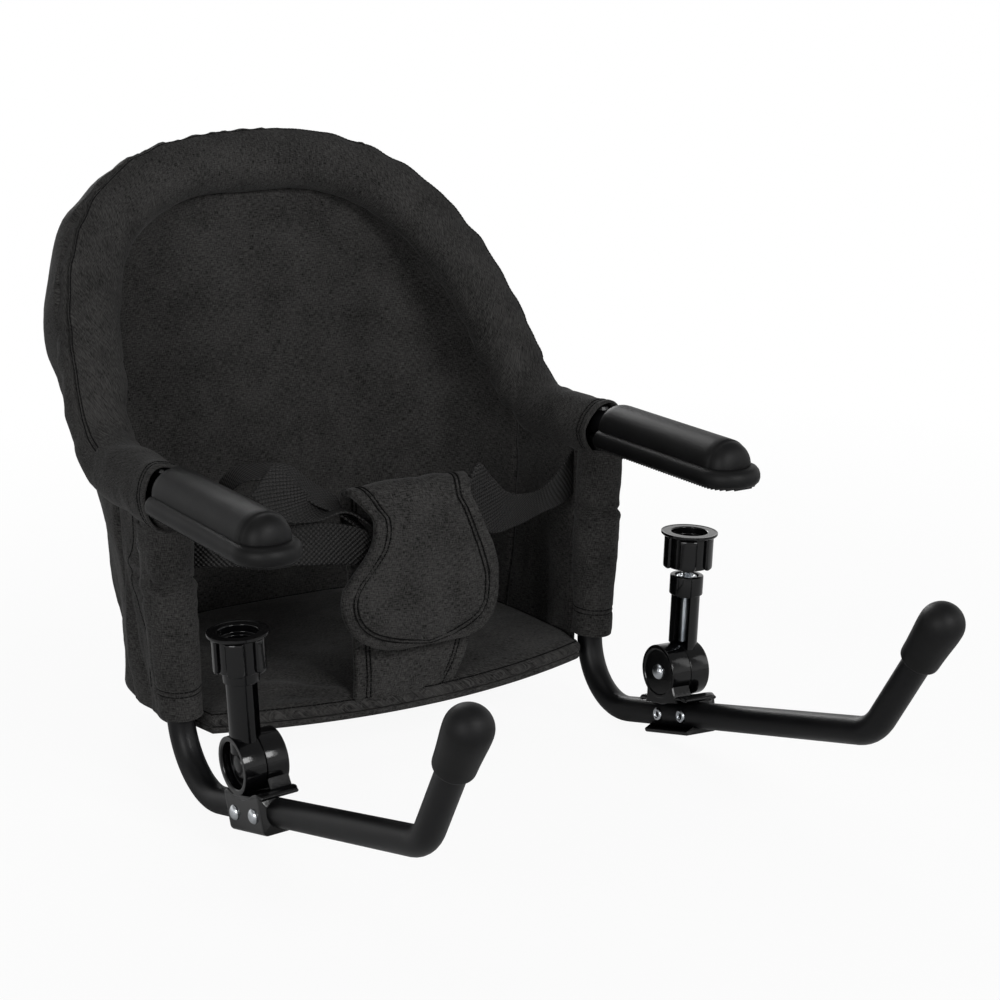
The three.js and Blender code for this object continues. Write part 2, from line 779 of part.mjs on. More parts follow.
  // Clamp arm with hub, column and collar; its frame sits on the pivot, upright along the frame's z
  const arm = new THREE.Group();
  arm.name = `${name}_clamp_arm_seat`;
  arm.position.copy(foot);
  frame.add(arm);
  const ox = x(column_offset);
  const slot_dir = { x: -side * Math.SQRT1_2, y: -Math.SQRT1_2 };
  const slot_high = column_top - collar_height - slot_land;
  const slot = box(-slot_width / 2, slot_width / 2, -column_r * 1.5, 0, slot_low, slot_high);
  slot.rotateZ(Math.atan2(slot_dir.x, -slot_dir.y));
  slot.translate(ox, 0, 0);
  const hub_top = barrel_r * 0.6;
  const column = cut(
    united(
      rod_x(x(gap), x(barrel_half), 0, 0, barrel_r, 24),
      rod_z(hub_top, column_top, ox, 0, column_r, 16),
      rod_z(column_top - collar_height, column_top, ox, 0, collar_r, 16),
    ),
    bar(
      -barrel_half - overrun,
      gap,
      -barrel_r - overrun,
      barrel_r + overrun,
      -barrel_r - overrun,
      barrel_r + hub_shoulder,
    ),
    rod_x(x(barrel_half - pocket_depth), x(barrel_half + overrun), 0, 0, pocket_r, 24),
    rod_x(x(-overrun), x(barrel_half), 0, 0, pivot_rivet_r + gap, 12),
    rod_z(
      column_top + knob_web / 2 - screw_length - knob_clearance,
      column_top + overrun,
      ox,
      0,
      screw_r + screw_room,
      12,
    ),
    rod_z(column_top - nut_height - gap, column_top + overrun, ox, 0, nut_r + gap, 6),
    slot,
  );
  add(`${name}_clamp_arm`, column, finish.plastic(), arm);
  add(`${name}_clamp_nut`, cut(
    rod_z(column_top - nut_height, column_top, ox, 0, nut_r, 6),
    rod_z(column_top - nut_height - overrun, column_top + overrun, ox, 0, screw_r + nut_room, 12),
  ), finish.zinc(), arm);
  const rivet_head = turned([
    [0, 0], [pivot_head_r, 0], [pivot_head_r * 0.86, pivot_head_height * 0.59],
    [pivot_head_r * 0.46, pivot_head_height * 0.91], [0, pivot_head_height],
  ], 14);
  rivet_head.rotateY(-side * Math.PI / 2);
  rivet_head.translate(x(-barrel_half - gap), 0, 0);
  const pocket_floor = barrel_half - pocket_depth;
  const tail_start = pocket_floor + washer_thick + gap;
  const rivet_tail = rod_x(x(tail_start), x(tail_start + pivot_tail_height), 0, 0, pivot_tail_r, 12);
  add(`${name}_pivot_rivet`, united(
    rod_x(x(-barrel_half - gap - weld), x(tail_start + pivot_tail_height / 2), 0, 0, pivot_rivet_r, 12),
    rivet_head,
    rivet_tail,
  ), finish.zinc(), arm);
  add(`${name}_pivot_washer`, cut(
    rod_x(x(pocket_floor + gap), x(pocket_floor + washer_thick), 0, 0, washer_r, 16),
    rod_x(x(-overrun), x(barrel_half), 0, 0, pivot_rivet_r + gap, 12),
  ), finish.zinc(), arm);

  // Screw and hand knob, drawn screwed home and then lifted by the amount the photograph shows
  const lift = knob_out[name];
  const web_low = column_top + knob_clearance;
  const screw = rod_z(web_low - screw_length + knob_web / 2, web_low + knob_web / 2, ox, 0, screw_r, 12);
  screw.translate(0, 0, lift);
  add(`${name}_clamp_screw`, screw, finish.zinc(), arm);
  const knob_top = web_low + knob_web + knob_cup_depth;
  const knob_low = knob_top - knob_height;
  const grip = [];
  for (let i = 0; i < grips; i += 1) {
    const wing = box(
      knob_r - overrun,
      grip_out,
      -grip_width / 2,
      grip_width / 2,
      knob_top - grip_height,
      knob_top - knob_flange_height / 2,
    );
    wing.rotateZ((2 * Math.PI * i) / grips + Math.PI / 10);
    grip.push(wing);
  }
  const knob = cut(
    united(
      rod_z(knob_low, knob_top, 0, 0, knob_r, 20),
      rod_z(knob_top - knob_flange_height, knob_top, 0, 0, knob_flange_r, 24),
      ...grip,
    ),
    rod_z(knob_top - knob_cup_depth, knob_top + overrun, 0, 0, knob_cup_r, 20),
    rod_z(knob_low - overrun, web_low, 0, 0, collar_r + knob_room, 20),
    rod_z(web_low - overrun, web_low + knob_web / 2 + gap, 0, 0, screw_r + gap, 12),
  );
  knob.translate(ox, 0, lift);
  add(`${name}_clamp_knob`, knob, finish.plastic(), arm);

  // Upright sleeve with its flap
  const levels = [0, 0.06, 0.12, 0.29, 0.55, 0.77, 1].map((share) => (
    THREE.MathUtils.lerp(upright_sleeve_low, upright_sleeve_high, share)));
  const swell = [0.8, 0.84, 0.87, 0.93, 1, 0.93, 0.95];
  const ring = (z, half_wide, half_deep, forward) => Array.from({ length: tube_sides }, (_, i) => {
    const angle = (2 * Math.PI * i) / tube_sides;
    return new THREE.Vector3(half_wide * Math.cos(angle), half_deep * Math.sin(angle) - forward, z);
  });
  const lining_r = tube_r + gap + lining_room;
  const skin = levels.map((z, i) => ring(
    z,
    upright_sleeve_half * swell[i],
    upright_sleeve_deep * swell[i],
    upright_sleeve_forward,
  ));
  const lining = levels.map((z) => ring(z, lining_r, lining_r, 0)).reverse();
  frame.updateMatrix();
  const inverse = frame.matrix.clone().invert();
  const flap = sleeve_flap(side).applyMatrix4(inverse);
  const tools = [rim_space, ...wrap_spaces].map((space) => space.clone().applyMatrix4(inverse));
  const sleeve = cut(united(loft([...skin, ...lining], true), flap), ...tools);
  add(`${name}_upright_sleeve`, sleeve, finish.cloth(), frame);
}

side_frame('right', -1);
side_frame('left', 1);

// Armrest pads: flange with a rounded front, dome over the tube, block of sole teeth
function armrest(name, side) {
  const flange = [];
  const front_centre = pad_front + pad_flange_half;
  const outline = (half) => {
    const points = [];
    const steps = 8;
    for (let i = 0; i <= steps; i += 1) {
      const angle = (Math.PI * i) / steps;
      points.push([half * Math.cos(angle), front_centre - half * Math.sin(angle)]);
    }
    points.push([-half, pad_rear - pad_edge_r], [-half + pad_edge_r, pad_rear]);
    points.push([half - pad_edge_r, pad_rear], [half, pad_rear - pad_edge_r]);
    return points;
  };
  const sole_z = corner_drop - arm_height;
  const flange_height = pad_flange_top - pad_tooth_height;
  [[0.65, 0], [0.15, 0.16], [0, 0.4], [0.12, 0.67], [0.75, 1]].forEach(([inset, rise]) => {
    flange.push(outline(pad_flange_half - pad_edge_r * inset).map(([px, py]) => (
      at(side * arm_half + px, py, sole_z + pad_tooth_height + flange_height * rise))));
  });
  const dome_rings = [];
  const dome_ring = (y, share) => {
    const ring = [];
    const steps = 8;
    for (let i = 0; i <= steps; i += 1) {
      const angle = (Math.PI * i) / steps;
      const wide = pad_dome_r * share * Math.cos(angle);
      const tall = (pad_dome_r * Math.sin(angle) + pad_dome_sink) * share - pad_dome_sink;
      ring.push(at(side * arm_half + wide, y, corner_drop + tall));
    }
    return ring;
  };
  [[0, 0.3], [0.35, 0.78], [0.7, 0.95], [1, 1]].forEach(([along, share]) => {
    dome_rings.push(dome_ring(pad_front + pad_nose + pad_nose_length * along, share));
  });
  [[1, 1], [0.3, 0.94], [0, 0.85]].forEach(([along, share]) => {
    dome_rings.push(dome_ring(pad_rear - pad_heel_length * along, share));
  });
  const teeth = loft([0, pad_tooth_height + weld].map((rise) => (
    outline(pad_flange_half - pad_sole_inset).map(([px, py]) => (
      at(side * arm_half + px, Math.min(py, pad_rear - pad_sole_heel), sole_z + rise))))), false);
  const bore_length = pad_rear - arm_front + 2 * overrun;
  const bore = new THREE.CylinderGeometry(tube_r + gap, tube_r + gap, bore_length, tube_sides);
  bore.rotateY(Math.PI / tube_sides);
  const centre = at(side * arm_half, (pad_rear + arm_front) / 2 + overrun / 2, corner_drop);
  bore.translate(centre.x, centre.y, centre.z);
  const body = united(loft(flange, false), loft(dome_rings, false), teeth);
  add(`${name}_armrest_pad`, cut(body, bore), finish.rubber());
}

armrest('right', -1);
armrest('left', 1);

// Crotch piece: rises from the seat's front, turns over at the top; the flap hangs from its front edge
const crotch_line = [
  [0, 0, 0], [0.25, 0.1, 0.25], [0.75, 0.6, 0.5], [1, 0.9, 0.75], [1, 1, 0.95],
].map(([wide, back, rise]) => [
  THREE.MathUtils.lerp(crotch_foot_half, crotch_top_half, wide),
  THREE.MathUtils.lerp(crotch_foot_y, crotch_top_y, back),
  THREE.MathUtils.lerp(pad_low + gap, crotch_top_z, rise),
]);
const crotch_rows = [
  ...crotch_line,
  [crotch_top_half, crotch_top_y - crotch_roll * 0.3, crotch_top_z - crotch_roll * 0.3],
  [crotch_top_half, crotch_top_y - crotch_roll, crotch_top_z],
  [flap_half_top, flap_y + crotch_thick / 2 + crotch_gap, crotch_top_z],
];
const across = (half, y, z, cells = 6) => (
  Array.from({ length: cells + 1 }, (_, i) => at(half * ((2 * i) / cells - 1), y, z)));
const crotch_sheet = sheet(crotch_rows.map(([half, y, z]) => across(half, y, z)), crotch_thick);
add('crotch_pad', cut(crotch_sheet, seat_space), finish.cloth());

function flap_solid() {
  const half_thick = crotch_thick / 2;
  const rows = [
    [0.98, 0], [1, 0.28], [1.08, 0.43], [1.26, 0.58], [1.4, 0.72],
    [1.41, 0.83], [1.3, 0.93], [1.05, 0.98], [0.7, 1],
  ].map(([wide, down]) => [
    Math.min(flap_half_top * wide, flap_half_low),
    THREE.MathUtils.lerp(crotch_top_z, flap_low, down),
  ]);
  const body = sheet(rows.map(([half, z]) => across(half, flap_y, z, 8)), crotch_thick);
  const root = rod_x(-flap_half_top * 0.98, flap_half_top * 0.98, 0, 0, half_thick, 10);
  const place = at(0, flap_y, crotch_top_z);
  root.translate(place.x, place.y, place.z);
  return united(body, root);
}
add('crotch_flap', flap_solid(), finish.cloth());

// Buckle with a tongue at each side, its strap to the seat, and the two waist belts
function buckle_box(x0, x1, thick_share, tall_share) {
  const low = at(0, buckle.y - buckle.thick * thick_share, buckle.z - buckle.tall * tall_share);
  const high = at(0, buckle.y + buckle.thick * thick_share, buckle.z + buckle.tall * tall_share);
  return box(x0, x1, low.y, high.y, low.z, high.z);
}
add('buckle_body', cut(
  buckle_box(-buckle.half, buckle.half, 1, 1),
  buckle_box(-buckle.half - overrun, -buckle.half + tongue_reach + tongue_play, 0.5, 0.72),
  buckle_box(buckle.half - tongue_reach - tongue_play, buckle.half + overrun, 0.5, 0.72),
), finish.plastic());

const strap_high = buckle.z - buckle.tall - gap;
add('crotch_strap', sheet([
  across(strap_width / 2, strap_low_y, strap_low, 2),
  across(strap_width / 2, THREE.MathUtils.lerp(strap_low_y, buckle.y, 0.4), (strap_low + strap_high) / 2, 2),
  across(strap_width / 2, buckle.y, strap_high, 2),
], strap_thick), finish.webbing());

const belt_run = [
  [0, 0, 0], [0.226, 0.057, 0.037], [0.441, 0.203, 0.26],
  [0.657, 0.48, 0.556], [0.873, 0.805, 0.852], [1, 1, 1],
];
for (const [name, side] of [['left', 1], ['right', -1]]) {
  const root = buckle.half + gap;
  const span = (a, b) => [Math.min(side * a, side * b), Math.max(side * a, side * b)];
  const tongue = united(
    buckle_box(...span(root, root + tongue_grip), 0.85, 1),
    buckle_box(...span(root - tongue_reach, root + tongue_play), 0.36, 0.6),
  );
  add(`${name}_buckle_tongue`, tongue, finish.plastic());
  const belt_inner = root + tongue_grip + gap;
  const rows = belt_run.map(([out, back, rise]) => [-0.5, 0.5].map((share) => at(
    side * THREE.MathUtils.lerp(belt_inner, wrap_half(belt_end.z), out),
    THREE.MathUtils.lerp(buckle.y, belt_end.y, back),
    THREE.MathUtils.lerp(buckle.z, belt_end.z, rise) + share * strap_width,
  )));
  add(`${name}_waist_belt`, cut(sheet(rows, strap_thick), ...wrap_spaces), finish.webbing());
}

export default group;
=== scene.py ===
# %% [markdown]
# A baby seat that hooks onto a table. A black tube frame carries a padded cloth bucket. Two
# rubber armrests lie on the table top, and two screw clamps press up from below it.
# Everything is in metres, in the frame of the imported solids, so no piece needs fitting.

# %% Load the frame
import math
from contextlib import contextmanager

import bmesh
import bpy
import numpy as np
from mathutils import Matrix, Vector


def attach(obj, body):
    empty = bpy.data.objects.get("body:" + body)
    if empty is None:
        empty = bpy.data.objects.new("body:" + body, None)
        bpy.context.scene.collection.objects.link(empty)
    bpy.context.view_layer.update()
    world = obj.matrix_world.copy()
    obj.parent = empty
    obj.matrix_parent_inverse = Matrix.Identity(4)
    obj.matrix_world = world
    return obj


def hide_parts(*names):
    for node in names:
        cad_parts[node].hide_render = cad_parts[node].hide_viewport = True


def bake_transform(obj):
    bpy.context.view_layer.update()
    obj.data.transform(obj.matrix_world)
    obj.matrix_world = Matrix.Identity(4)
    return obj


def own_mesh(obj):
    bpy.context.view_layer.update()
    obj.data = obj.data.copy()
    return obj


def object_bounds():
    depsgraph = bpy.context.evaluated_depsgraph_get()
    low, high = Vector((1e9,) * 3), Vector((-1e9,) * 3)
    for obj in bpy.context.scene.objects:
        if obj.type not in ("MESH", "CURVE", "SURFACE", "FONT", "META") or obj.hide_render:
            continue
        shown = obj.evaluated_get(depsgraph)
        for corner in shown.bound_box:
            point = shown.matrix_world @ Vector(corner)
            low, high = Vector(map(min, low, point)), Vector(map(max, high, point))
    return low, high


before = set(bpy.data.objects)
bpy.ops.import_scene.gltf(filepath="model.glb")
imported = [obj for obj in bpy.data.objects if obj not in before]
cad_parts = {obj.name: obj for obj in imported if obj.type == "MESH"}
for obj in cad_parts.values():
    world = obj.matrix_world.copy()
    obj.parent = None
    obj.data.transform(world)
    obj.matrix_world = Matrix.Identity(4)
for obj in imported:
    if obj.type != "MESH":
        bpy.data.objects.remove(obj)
solid_box = [list(corner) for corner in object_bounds()]

# %% [markdown]
# The sizes below are the ones the solids were made from, in millimetres. They are measured from
# the lower corner of the side frame, where the upright meets the run that goes to the front.
# One function moves such a point into the part's own frame.

# %% Driving sizes of the frame
MM = 0.001
TUBE_R = 9.5
TUBE_WALL = 1.5
ARM_HEIGHT = 14.0
ARM_HALF = 177.6
CORNER_HALF = 167.6
CORNER_DROP = 222.8
UPRIGHT_BACK = 98.0
SPLAY = math.atan2(ARM_HALF - CORNER_HALF, CORNER_DROP)
TOE_IN = math.radians(0.8)
HOOP_FOOT_Y = 92.0
HOOP_LEAN = math.radians(36)
HOOP_HEIGHT = 234.0
HOOP_POWER = 2.6
HOOP_BEND_R = 56.0
SIDES = {"left": 1, "right": -1}
SHIFT = np.array([0, UPRIGHT_BACK, ARM_HEIGHT - CORNER_DROP])


def in_part(points):
    """Points in millimetres from the frame's corner, as metres in the part's frame."""
    return (np.asarray(points, float) + SHIFT) * MM


def side_point(side, points):
    """Points of one splayed side frame, in millimetres from the frame's corner."""
    turn_y = Matrix.Rotation(side * SPLAY, 3, "Y")
    turn_z = Matrix.Rotation(-side * TOE_IN, 3, "Z")
    turned = np.asarray(points, float) @ np.array(turn_y @ turn_z).T
    return turned + np.array([side * CORNER_HALF, 0, 0])


print("arm centres", 2 * ARM_HALF, "mm apart, splay", round(math.degrees(SPLAY), 2), "degrees")

# %% [markdown]
# Most pieces are lattices: rows of points across a surface. A lattice can close round on itself,
# as on a tube, and it carries a UV map in metres of cloth, so that a weave keeps its real size
# and follows the surface.

# %% Build a mesh from rows of points
def link(name, data):
    """A new object of the scene from its data."""
    made = bpy.data.objects.new(name, data)
    bpy.context.scene.collection.objects.link(made)
    return made


@contextmanager
def opened(mesh):
    """The mesh open for edits, which are written back at the end."""
    work = bmesh.new()
    work.from_mesh(mesh)
    yield work
    work.to_mesh(mesh)
    work.free()


def spans(points, axis):
    """Distance along an axis of a lattice, from its middle."""
    steps = np.linalg.norm(np.diff(points, axis=axis), axis=-1)
    zero = np.zeros_like(np.take(steps, [0], axis=axis))
    total = np.cumsum(np.concatenate([zero, steps], axis=axis), axis=axis)
    return total - np.take(total, [total.shape[axis] // 2], axis=axis)


def lattice_faces(rows, columns, around=False, looped=False, start=0):
    """Faces of a lattice whose points are numbered row by row, and each corner's (row, column)."""
    faces, corners = [], []
    for i in range(rows if looped else rows - 1):
        for j in range(columns if around else columns - 1):
            cell = [(i, j), (i, j + 1), (i + 1, j + 1), (i + 1, j)]
            faces.append([start + (r % rows) * columns + c % columns for r, c in cell])
            corners.append(cell)
    return faces, corners


WELD = 2e-6


def finish_mesh(name, points, faces, look, uvs, smooth=True):
    """An object at the origin from points in millimetres, outward faces, and its finish."""
    mesh = bpy.data.meshes.new(name)
    mesh.from_pydata([tuple(p) for p in in_part(points)], [], faces)
    layer = mesh.uv_layers.new(name="cloth")
    layer.data.foreach_set("uv", np.asarray(uvs, np.float32).ravel())
    with opened(mesh) as work:
        bmesh.ops.remove_doubles(work, verts=work.verts, dist=WELD)
        bmesh.ops.dissolve_degenerate(work, edges=work.edges, dist=1e-7)
        bmesh.ops.recalc_face_normals(work, faces=work.faces)
    if smooth:
        mesh.polygons.foreach_set("use_smooth", [True] * len(mesh.polygons))
    mesh.materials.append(look)
    return link(name, mesh)


def lattice(name, points, look, looped=False, smooth=True):
    """A lattice closed round each row as a piece; its ends meet, or a centre point closes each."""
    points = np.asarray(points, float)
    rows, columns = points.shape[:2]
    grown = np.concatenate([points, points[:1]], axis=0) if looped else points
    grown = np.concatenate([grown, grown[:, :1]], axis=1)
    along, across = spans(grown, 0) * MM, spans(grown, 1) * MM
    faces, corners = lattice_faces(rows, columns, True, looped)
    uvs = [(across[r, c], along[r, c]) for cell in corners for r, c in cell]
    flat = list(points.reshape(-1, 3))
    if not looped:
        for row, order in ((0, 1), (rows - 1, -1)):
            centre = len(flat)
            flat.append(points[row].mean(axis=0))
            for j in range(columns):
                pair = [row * columns + j, row * columns + (j + 1) % columns][::order]
                faces.append([*pair, centre])
                uvs += [(0, 0), (0, 0.001), (0.001, 0)]
    return finish_mesh(name, flat, faces, look, uvs, smooth)


print("lattice helpers ready")

# %% [markdown]
# A tube is a ring carried along a path without twisting. The path's corners are rounded with
# arcs, as a tube bender leaves them.

# %% Carry rings along a path
def unit(vectors):
    """The same directions with length 1."""
    return vectors / (np.linalg.norm(vectors, axis=-1, keepdims=True) + 1e-9)


def rounded(corners, steps=14):
    """Points along a polyline whose inner corners (point, radius) are rounded."""
    points = [np.array(corners[0][0], float)]
    for before, here, after in zip(corners, corners[1:], corners[2:]):
        point, radius = np.array(here[0], float), here[1]
        back, on = unit(np.array([before[0], after[0]], float) - point)
        half = math.acos(float(np.clip(back @ on, -1, 1))) / 2
        centre = point + unit(back + on) * radius / math.sin(half)
        first = point + back * radius / math.tan(half) - centre
        last = point + on * radius / math.tan(half) - centre
        turn = math.pi - 2 * half
        for k in range(steps + 1):
            share = k / steps
            a, b = math.sin((1 - share) * turn), math.sin(share * turn)
            points.append(centre + (first * a + last * b) / math.sin(turn))
    points.append(np.array(corners[-1][0], float))
    return np.array(points)


def run_along(points):
    """Distance from the start of a path to each of its points."""
    steps = np.linalg.norm(np.diff(points, axis=0), axis=1)
    return np.concatenate([[0], np.cumsum(steps)])


def spread(points, count, endpoint=True):
    """The same path with a number of points at even distances."""
    reach = run_along(points)
    places = np.linspace(0, reach[-1], count, endpoint=endpoint)
    return np.stack([np.interp(places, reach, column) for column in points.T], axis=1)


def evenly(points, step):
    """The same path with points about a step apart."""
    return spread(points, max(2, int(round(run_along(points)[-1] / step)) + 1))


def full_turn(count):
    """Even angles once round."""
    return np.linspace(0, 2 * math.pi, count, endpoint=False)


def carried(points):
    """First and second normal at each point of a path, carried along without twist."""
    tangents = unit(np.gradient(points, axis=0))
    normals = []
    normal = np.array([1.0, 0, 0])
    for tangent in tangents:
        normal = unit(normal - tangent * (normal @ tangent))
        normals.append(normal)
    return np.array(normals), np.cross(tangents, normals)


def hollow(points, count=32):
    """Rings out along the outside of a frame tube and back along its bore."""
    n, b = carried(points)
    turn = full_turn(count)
    ring = np.cos(turn)[:, None] * n[:, None] + np.sin(turn)[:, None] * b[:, None]
    outside, bore = (points[:, None] + ring * radius for radius in (TUBE_R, TUBE_R - TUBE_WALL))
    return np.concatenate([outside, bore[::-1]])


print("path helpers ready")

# %% [markdown]
# Cloth is never smooth. A field of soft random bumps, the same on every run, pushes surfaces in
# and out a little. It is value noise: random numbers on a lattice, joined by smooth curves.

# %% Soft random field
CLOUD = np.random.RandomState(11).rand(32, 32, 32) * 2 - 1
EVEN = np.ones(3)


def cloud(points, size):
    """Smooth random numbers from -1 to 1 at points in millimetres; bumps are about size wide."""
    q = np.asarray(points, float) / size + 100
    low = np.floor(q).astype(int)
    f = q - low
    f = f * f * (3 - 2 * f)
    total = 0
    for dx in (0, 1):
        for dy in (0, 1):
            for dz in (0, 1):
                weight = (np.where(dx, f[..., 0], 1 - f[..., 0])
                          * np.where(dy, f[..., 1], 1 - f[..., 1])
                          * np.where(dz, f[..., 2], 1 - f[..., 2]))
                total = total + weight * CLOUD[(low[..., 0] + dx) % 32, (low[..., 1] + dy) % 32,
                                               (low[..., 2] + dz) % 32]
    return total


def bumps(points, *layers):
    """Layers of soft bumps: height and width in millimetres, place in the field, and squeeze."""
    total = 0
    for height, wide, place, squeeze in layers:
        total = total + height * cloud(points * squeeze + place, wide)
    return total


def groove(distance, wide):
    """1 on a line and a smooth fall to 0 beside it."""
    return np.exp(-(distance / wide) ** 2)


def smoothstep(x, low, high):
    """0 below low, 1 above high, and a smooth rise between."""
    t = np.clip((np.asarray(x, float) - low) / (high - low), 0, 1)
    return t * t * (3 - 2 * t)


print("noise from", round(float(CLOUD.min()), 3), "to", round(float(CLOUD.max()), 3))

# %% [markdown]
# ## Finishes
# Each finish starts from the real material. Colours are written as sRGB hex and turned to
# linear by one function, and one function adds a node with its settings and links. A node that
# is there already, such as the shader, is fed by the same rule.

# %% Colour and node helpers
def srgb(code):
    """A hex colour as linear red, green, blue and alpha."""
    parts = [int(code[i:i + 2], 16) / 255 for i in (0, 2, 4)]
    return [c / 12.92 if c <= 0.04045 else ((c + 0.055) / 1.055) ** 2.4 for c in parts] + [1.0]


def feed(tree, made, inputs):
    """Sets a node's sockets to values, or links them to another node's output."""
    for key, value in dict(inputs).items():
        if isinstance(value, bpy.types.NodeSocket):
            tree.links.new(value, made.inputs[key])
        else:
            made.inputs[key].default_value = value
    return made


def node(tree, kind, inputs=(), stops=(), **settings):
    """Adds a node with its settings and links, and a colour ramp's stops as place and hex."""
    made = tree.nodes.new(kind)
    for key, value in settings.items():
        setattr(made, key, value)
    for k, (place, code) in enumerate(stops):
        made.color_ramp.elements[k].position = place
        made.color_ramp.elements[k].color = srgb(code)
    return feed(tree, made, inputs)


def surface(name):
    """A new material with its tree and shader."""
    look = bpy.data.materials.new(name)
    look.use_nodes = True
    return look, look.node_tree, look.node_tree.nodes["Principled BSDF"]


print("black as linear:", [round(c, 4) for c in srgb("1C1C1D")[:3]])

# %% [markdown]
# The cover is polyester melange: a plain weave of dark yarns spun from grey and black fibre, so
# warp and weft show as short pale dashes in two directions. The real yarns are about 0.4 mm
# apart, too fine to show here, so they are drawn 0.6 mm apart. Polyester staple has a soft sheen.

# %% Cloth: woven melange polyester
def melange_cloth(name, dark, pale, yarn=0.6 * MM, lift=0.6):
    """Cloth whose pale and dark dashes follow warp and weft on the cloth's own UV map."""
    look, tree, shader = surface(name)
    uv = node(tree, "ShaderNodeUVMap", uv_map="cloth").outputs["UV"]
    threads = []
    for stretch in ((1, 5, 1), (8, 1, 1)):
        scaled = node(tree, "ShaderNodeMapping",
                      {"Vector": uv, "Scale": [1 / (yarn * s) for s in stretch]})
        threads.append(node(tree, "ShaderNodeTexNoise", {
            "Vector": scaled.outputs["Vector"], "Scale": 1.0, "Detail": 1.0,
            "Roughness": 0.5}).outputs["Fac"])
    both = node(tree, "ShaderNodeMath", dict(enumerate(threads)), operation="ADD").outputs[0]
    weave = node(tree, "ShaderNodeMath", {0: both, 1: 0.5}, operation="MULTIPLY").outputs[0]
    place = node(tree, "ShaderNodeTexCoord").outputs["Object"]
    patches = node(tree, "ShaderNodeTexNoise",
                   {"Vector": place, "Scale": 38.0, "Detail": 1.0}).outputs["Fac"]
    faint = node(tree, "ShaderNodeMath", {0: patches, 1: 0.16}, operation="MULTIPLY").outputs[0]
    mixed = node(tree, "ShaderNodeMath", {0: weave, 1: faint}, operation="ADD").outputs[0]
    colour = node(tree, "ShaderNodeValToRGB", {"Fac": mixed}, stops=((0.40, dark), (0.72, pale)))
    bump = node(tree, "ShaderNodeBump", {"Height": weave, "Strength": lift, "Distance": 0.5 * MM})
    feed(tree, shader, {
        "Base Color": colour.outputs["Color"], "Normal": bump.outputs["Normal"],
        "Roughness": 0.9, "Specular IOR Level": 0.08, "Sheen Weight": 0.06,
        "Sheen Roughness": 0.5})
    return look


CLOTH = melange_cloth("charcoal_melange_polyester", "030303", "454443")
print("cloth finish:", CLOTH.name)

# %% [markdown]
# The belts are woven polypropylene webbing. Fat yarns 1.8 mm wide cross in a basket weave that
# catches light on each yarn. The weave is a bump made of crossed waves, 3.6 mm long, on the
# belt's own UV map. Its colour follows the same waves: painted shade darkens the gaps between
# yarns, and a painted highlight lightens each yarn's crown.

# %% Webbing: basket-woven polypropylene
def webbing(name, wave=3.6 * MM):
    """Webbing with a basket weave on the belt's own UV map. Its colour is painted shade in the
    gaps between yarns and a painted highlight on each yarn's crown.
    """
    look, tree, shader = surface(name)
    uv = node(tree, "ShaderNodeUVMap", uv_map="cloth").outputs["UV"]
    parts = node(tree, "ShaderNodeSeparateXYZ", {"Vector": uv})
    waves = []
    for axis in "XY":
        scaled = node(tree, "ShaderNodeMath", {0: parts.outputs[axis], 1: 2 * math.pi / wave},
                      operation="MULTIPLY").outputs[0]
        waves.append(node(tree, "ShaderNodeMath", {0: scaled}, operation="SINE").outputs[0])
    cross = node(tree, "ShaderNodeMath", {0: waves[0], 1: waves[1]}, operation="MULTIPLY")
    height = node(tree, "ShaderNodeMath", {0: cross.outputs[0], 1: 0.5, 2: 0.5},
                  operation="MULTIPLY_ADD").outputs[0]
    # painted shade and highlight: darker where the weave is low, lighter where it is high
    colour = node(tree, "ShaderNodeValToRGB", {"Fac": height},
                  stops=((0.4, "010101"), (0.95, "211F1E")))
    bump = node(tree, "ShaderNodeBump", {"Height": height, "Strength": 1.0, "Distance": 0.9 * MM})
    feed(tree, shader, {
        "Base Color": colour.outputs["Color"], "Normal": bump.outputs["Normal"],
        "Roughness": 0.62, "Specular IOR Level": 0.35})
    return look


WEBBING_PAINTED_WEAVE_SHADE = webbing("black_webbing_painted_weave_shade")
# Black thread: real stitching, and its dark near-unbroken line is partly painted shade of the seam
# grooves.
THREAD_AND_GROOVE_SHADE, thread_nodes, thread_shader = surface("black_polyester_thread")
feed(thread_nodes, thread_shader, {
    "Base Color": srgb("050505"), "Roughness": 0.7, "Specular IOR Level": 0.1})
print("webbing and thread:", WEBBING_PAINTED_WEAVE_SHADE.name, THREAD_AND_GROOVE_SHADE.name)

# %% [markdown]
# The hard finishes are powder coat on the tubes, gloss moulded plastic on the clamps, satin
# moulding on the buckle, rubber on pads and caps, and bright zinc plate on rivets and screws.
# Each gets the fine unevenness of how it was made: orange peel, mould haze, bloom or plating.

# %% Hard finishes
def coated(name, low, high, roughness, grain, depth, metallic=0.0, vary=0.06, specular=0.5):
    """A finish with fine grain of a real size in metres and a slightly uneven gloss."""
    look, tree, shader = surface(name)
    place = node(tree, "ShaderNodeTexCoord").outputs["Object"]
    fine = node(tree, "ShaderNodeTexNoise", {"Vector": place, "Scale": 1 / grain,
                                             "Detail": 3.0}).outputs["Fac"]
    wide = node(tree, "ShaderNodeTexNoise", {"Vector": place, "Scale": 45.0,
                                             "Detail": 4.0}).outputs["Fac"]
    colour = node(tree, "ShaderNodeValToRGB", {"Fac": wide}, stops=((0.3, low), (0.7, high)))
    rough = node(tree, "ShaderNodeMapRange", {
        "Value": wide, "To Min": roughness - vary, "To Max": roughness + vary})
    bump = node(tree, "ShaderNodeBump", {"Height": fine, "Strength": depth, "Distance": 0.2 * MM})
    feed(tree, shader, {
        "Base Color": colour.outputs["Color"], "Roughness": rough.outputs["Result"],
        "Normal": bump.outputs["Normal"], "Metallic": metallic, "Specular IOR Level": specular})
    return look


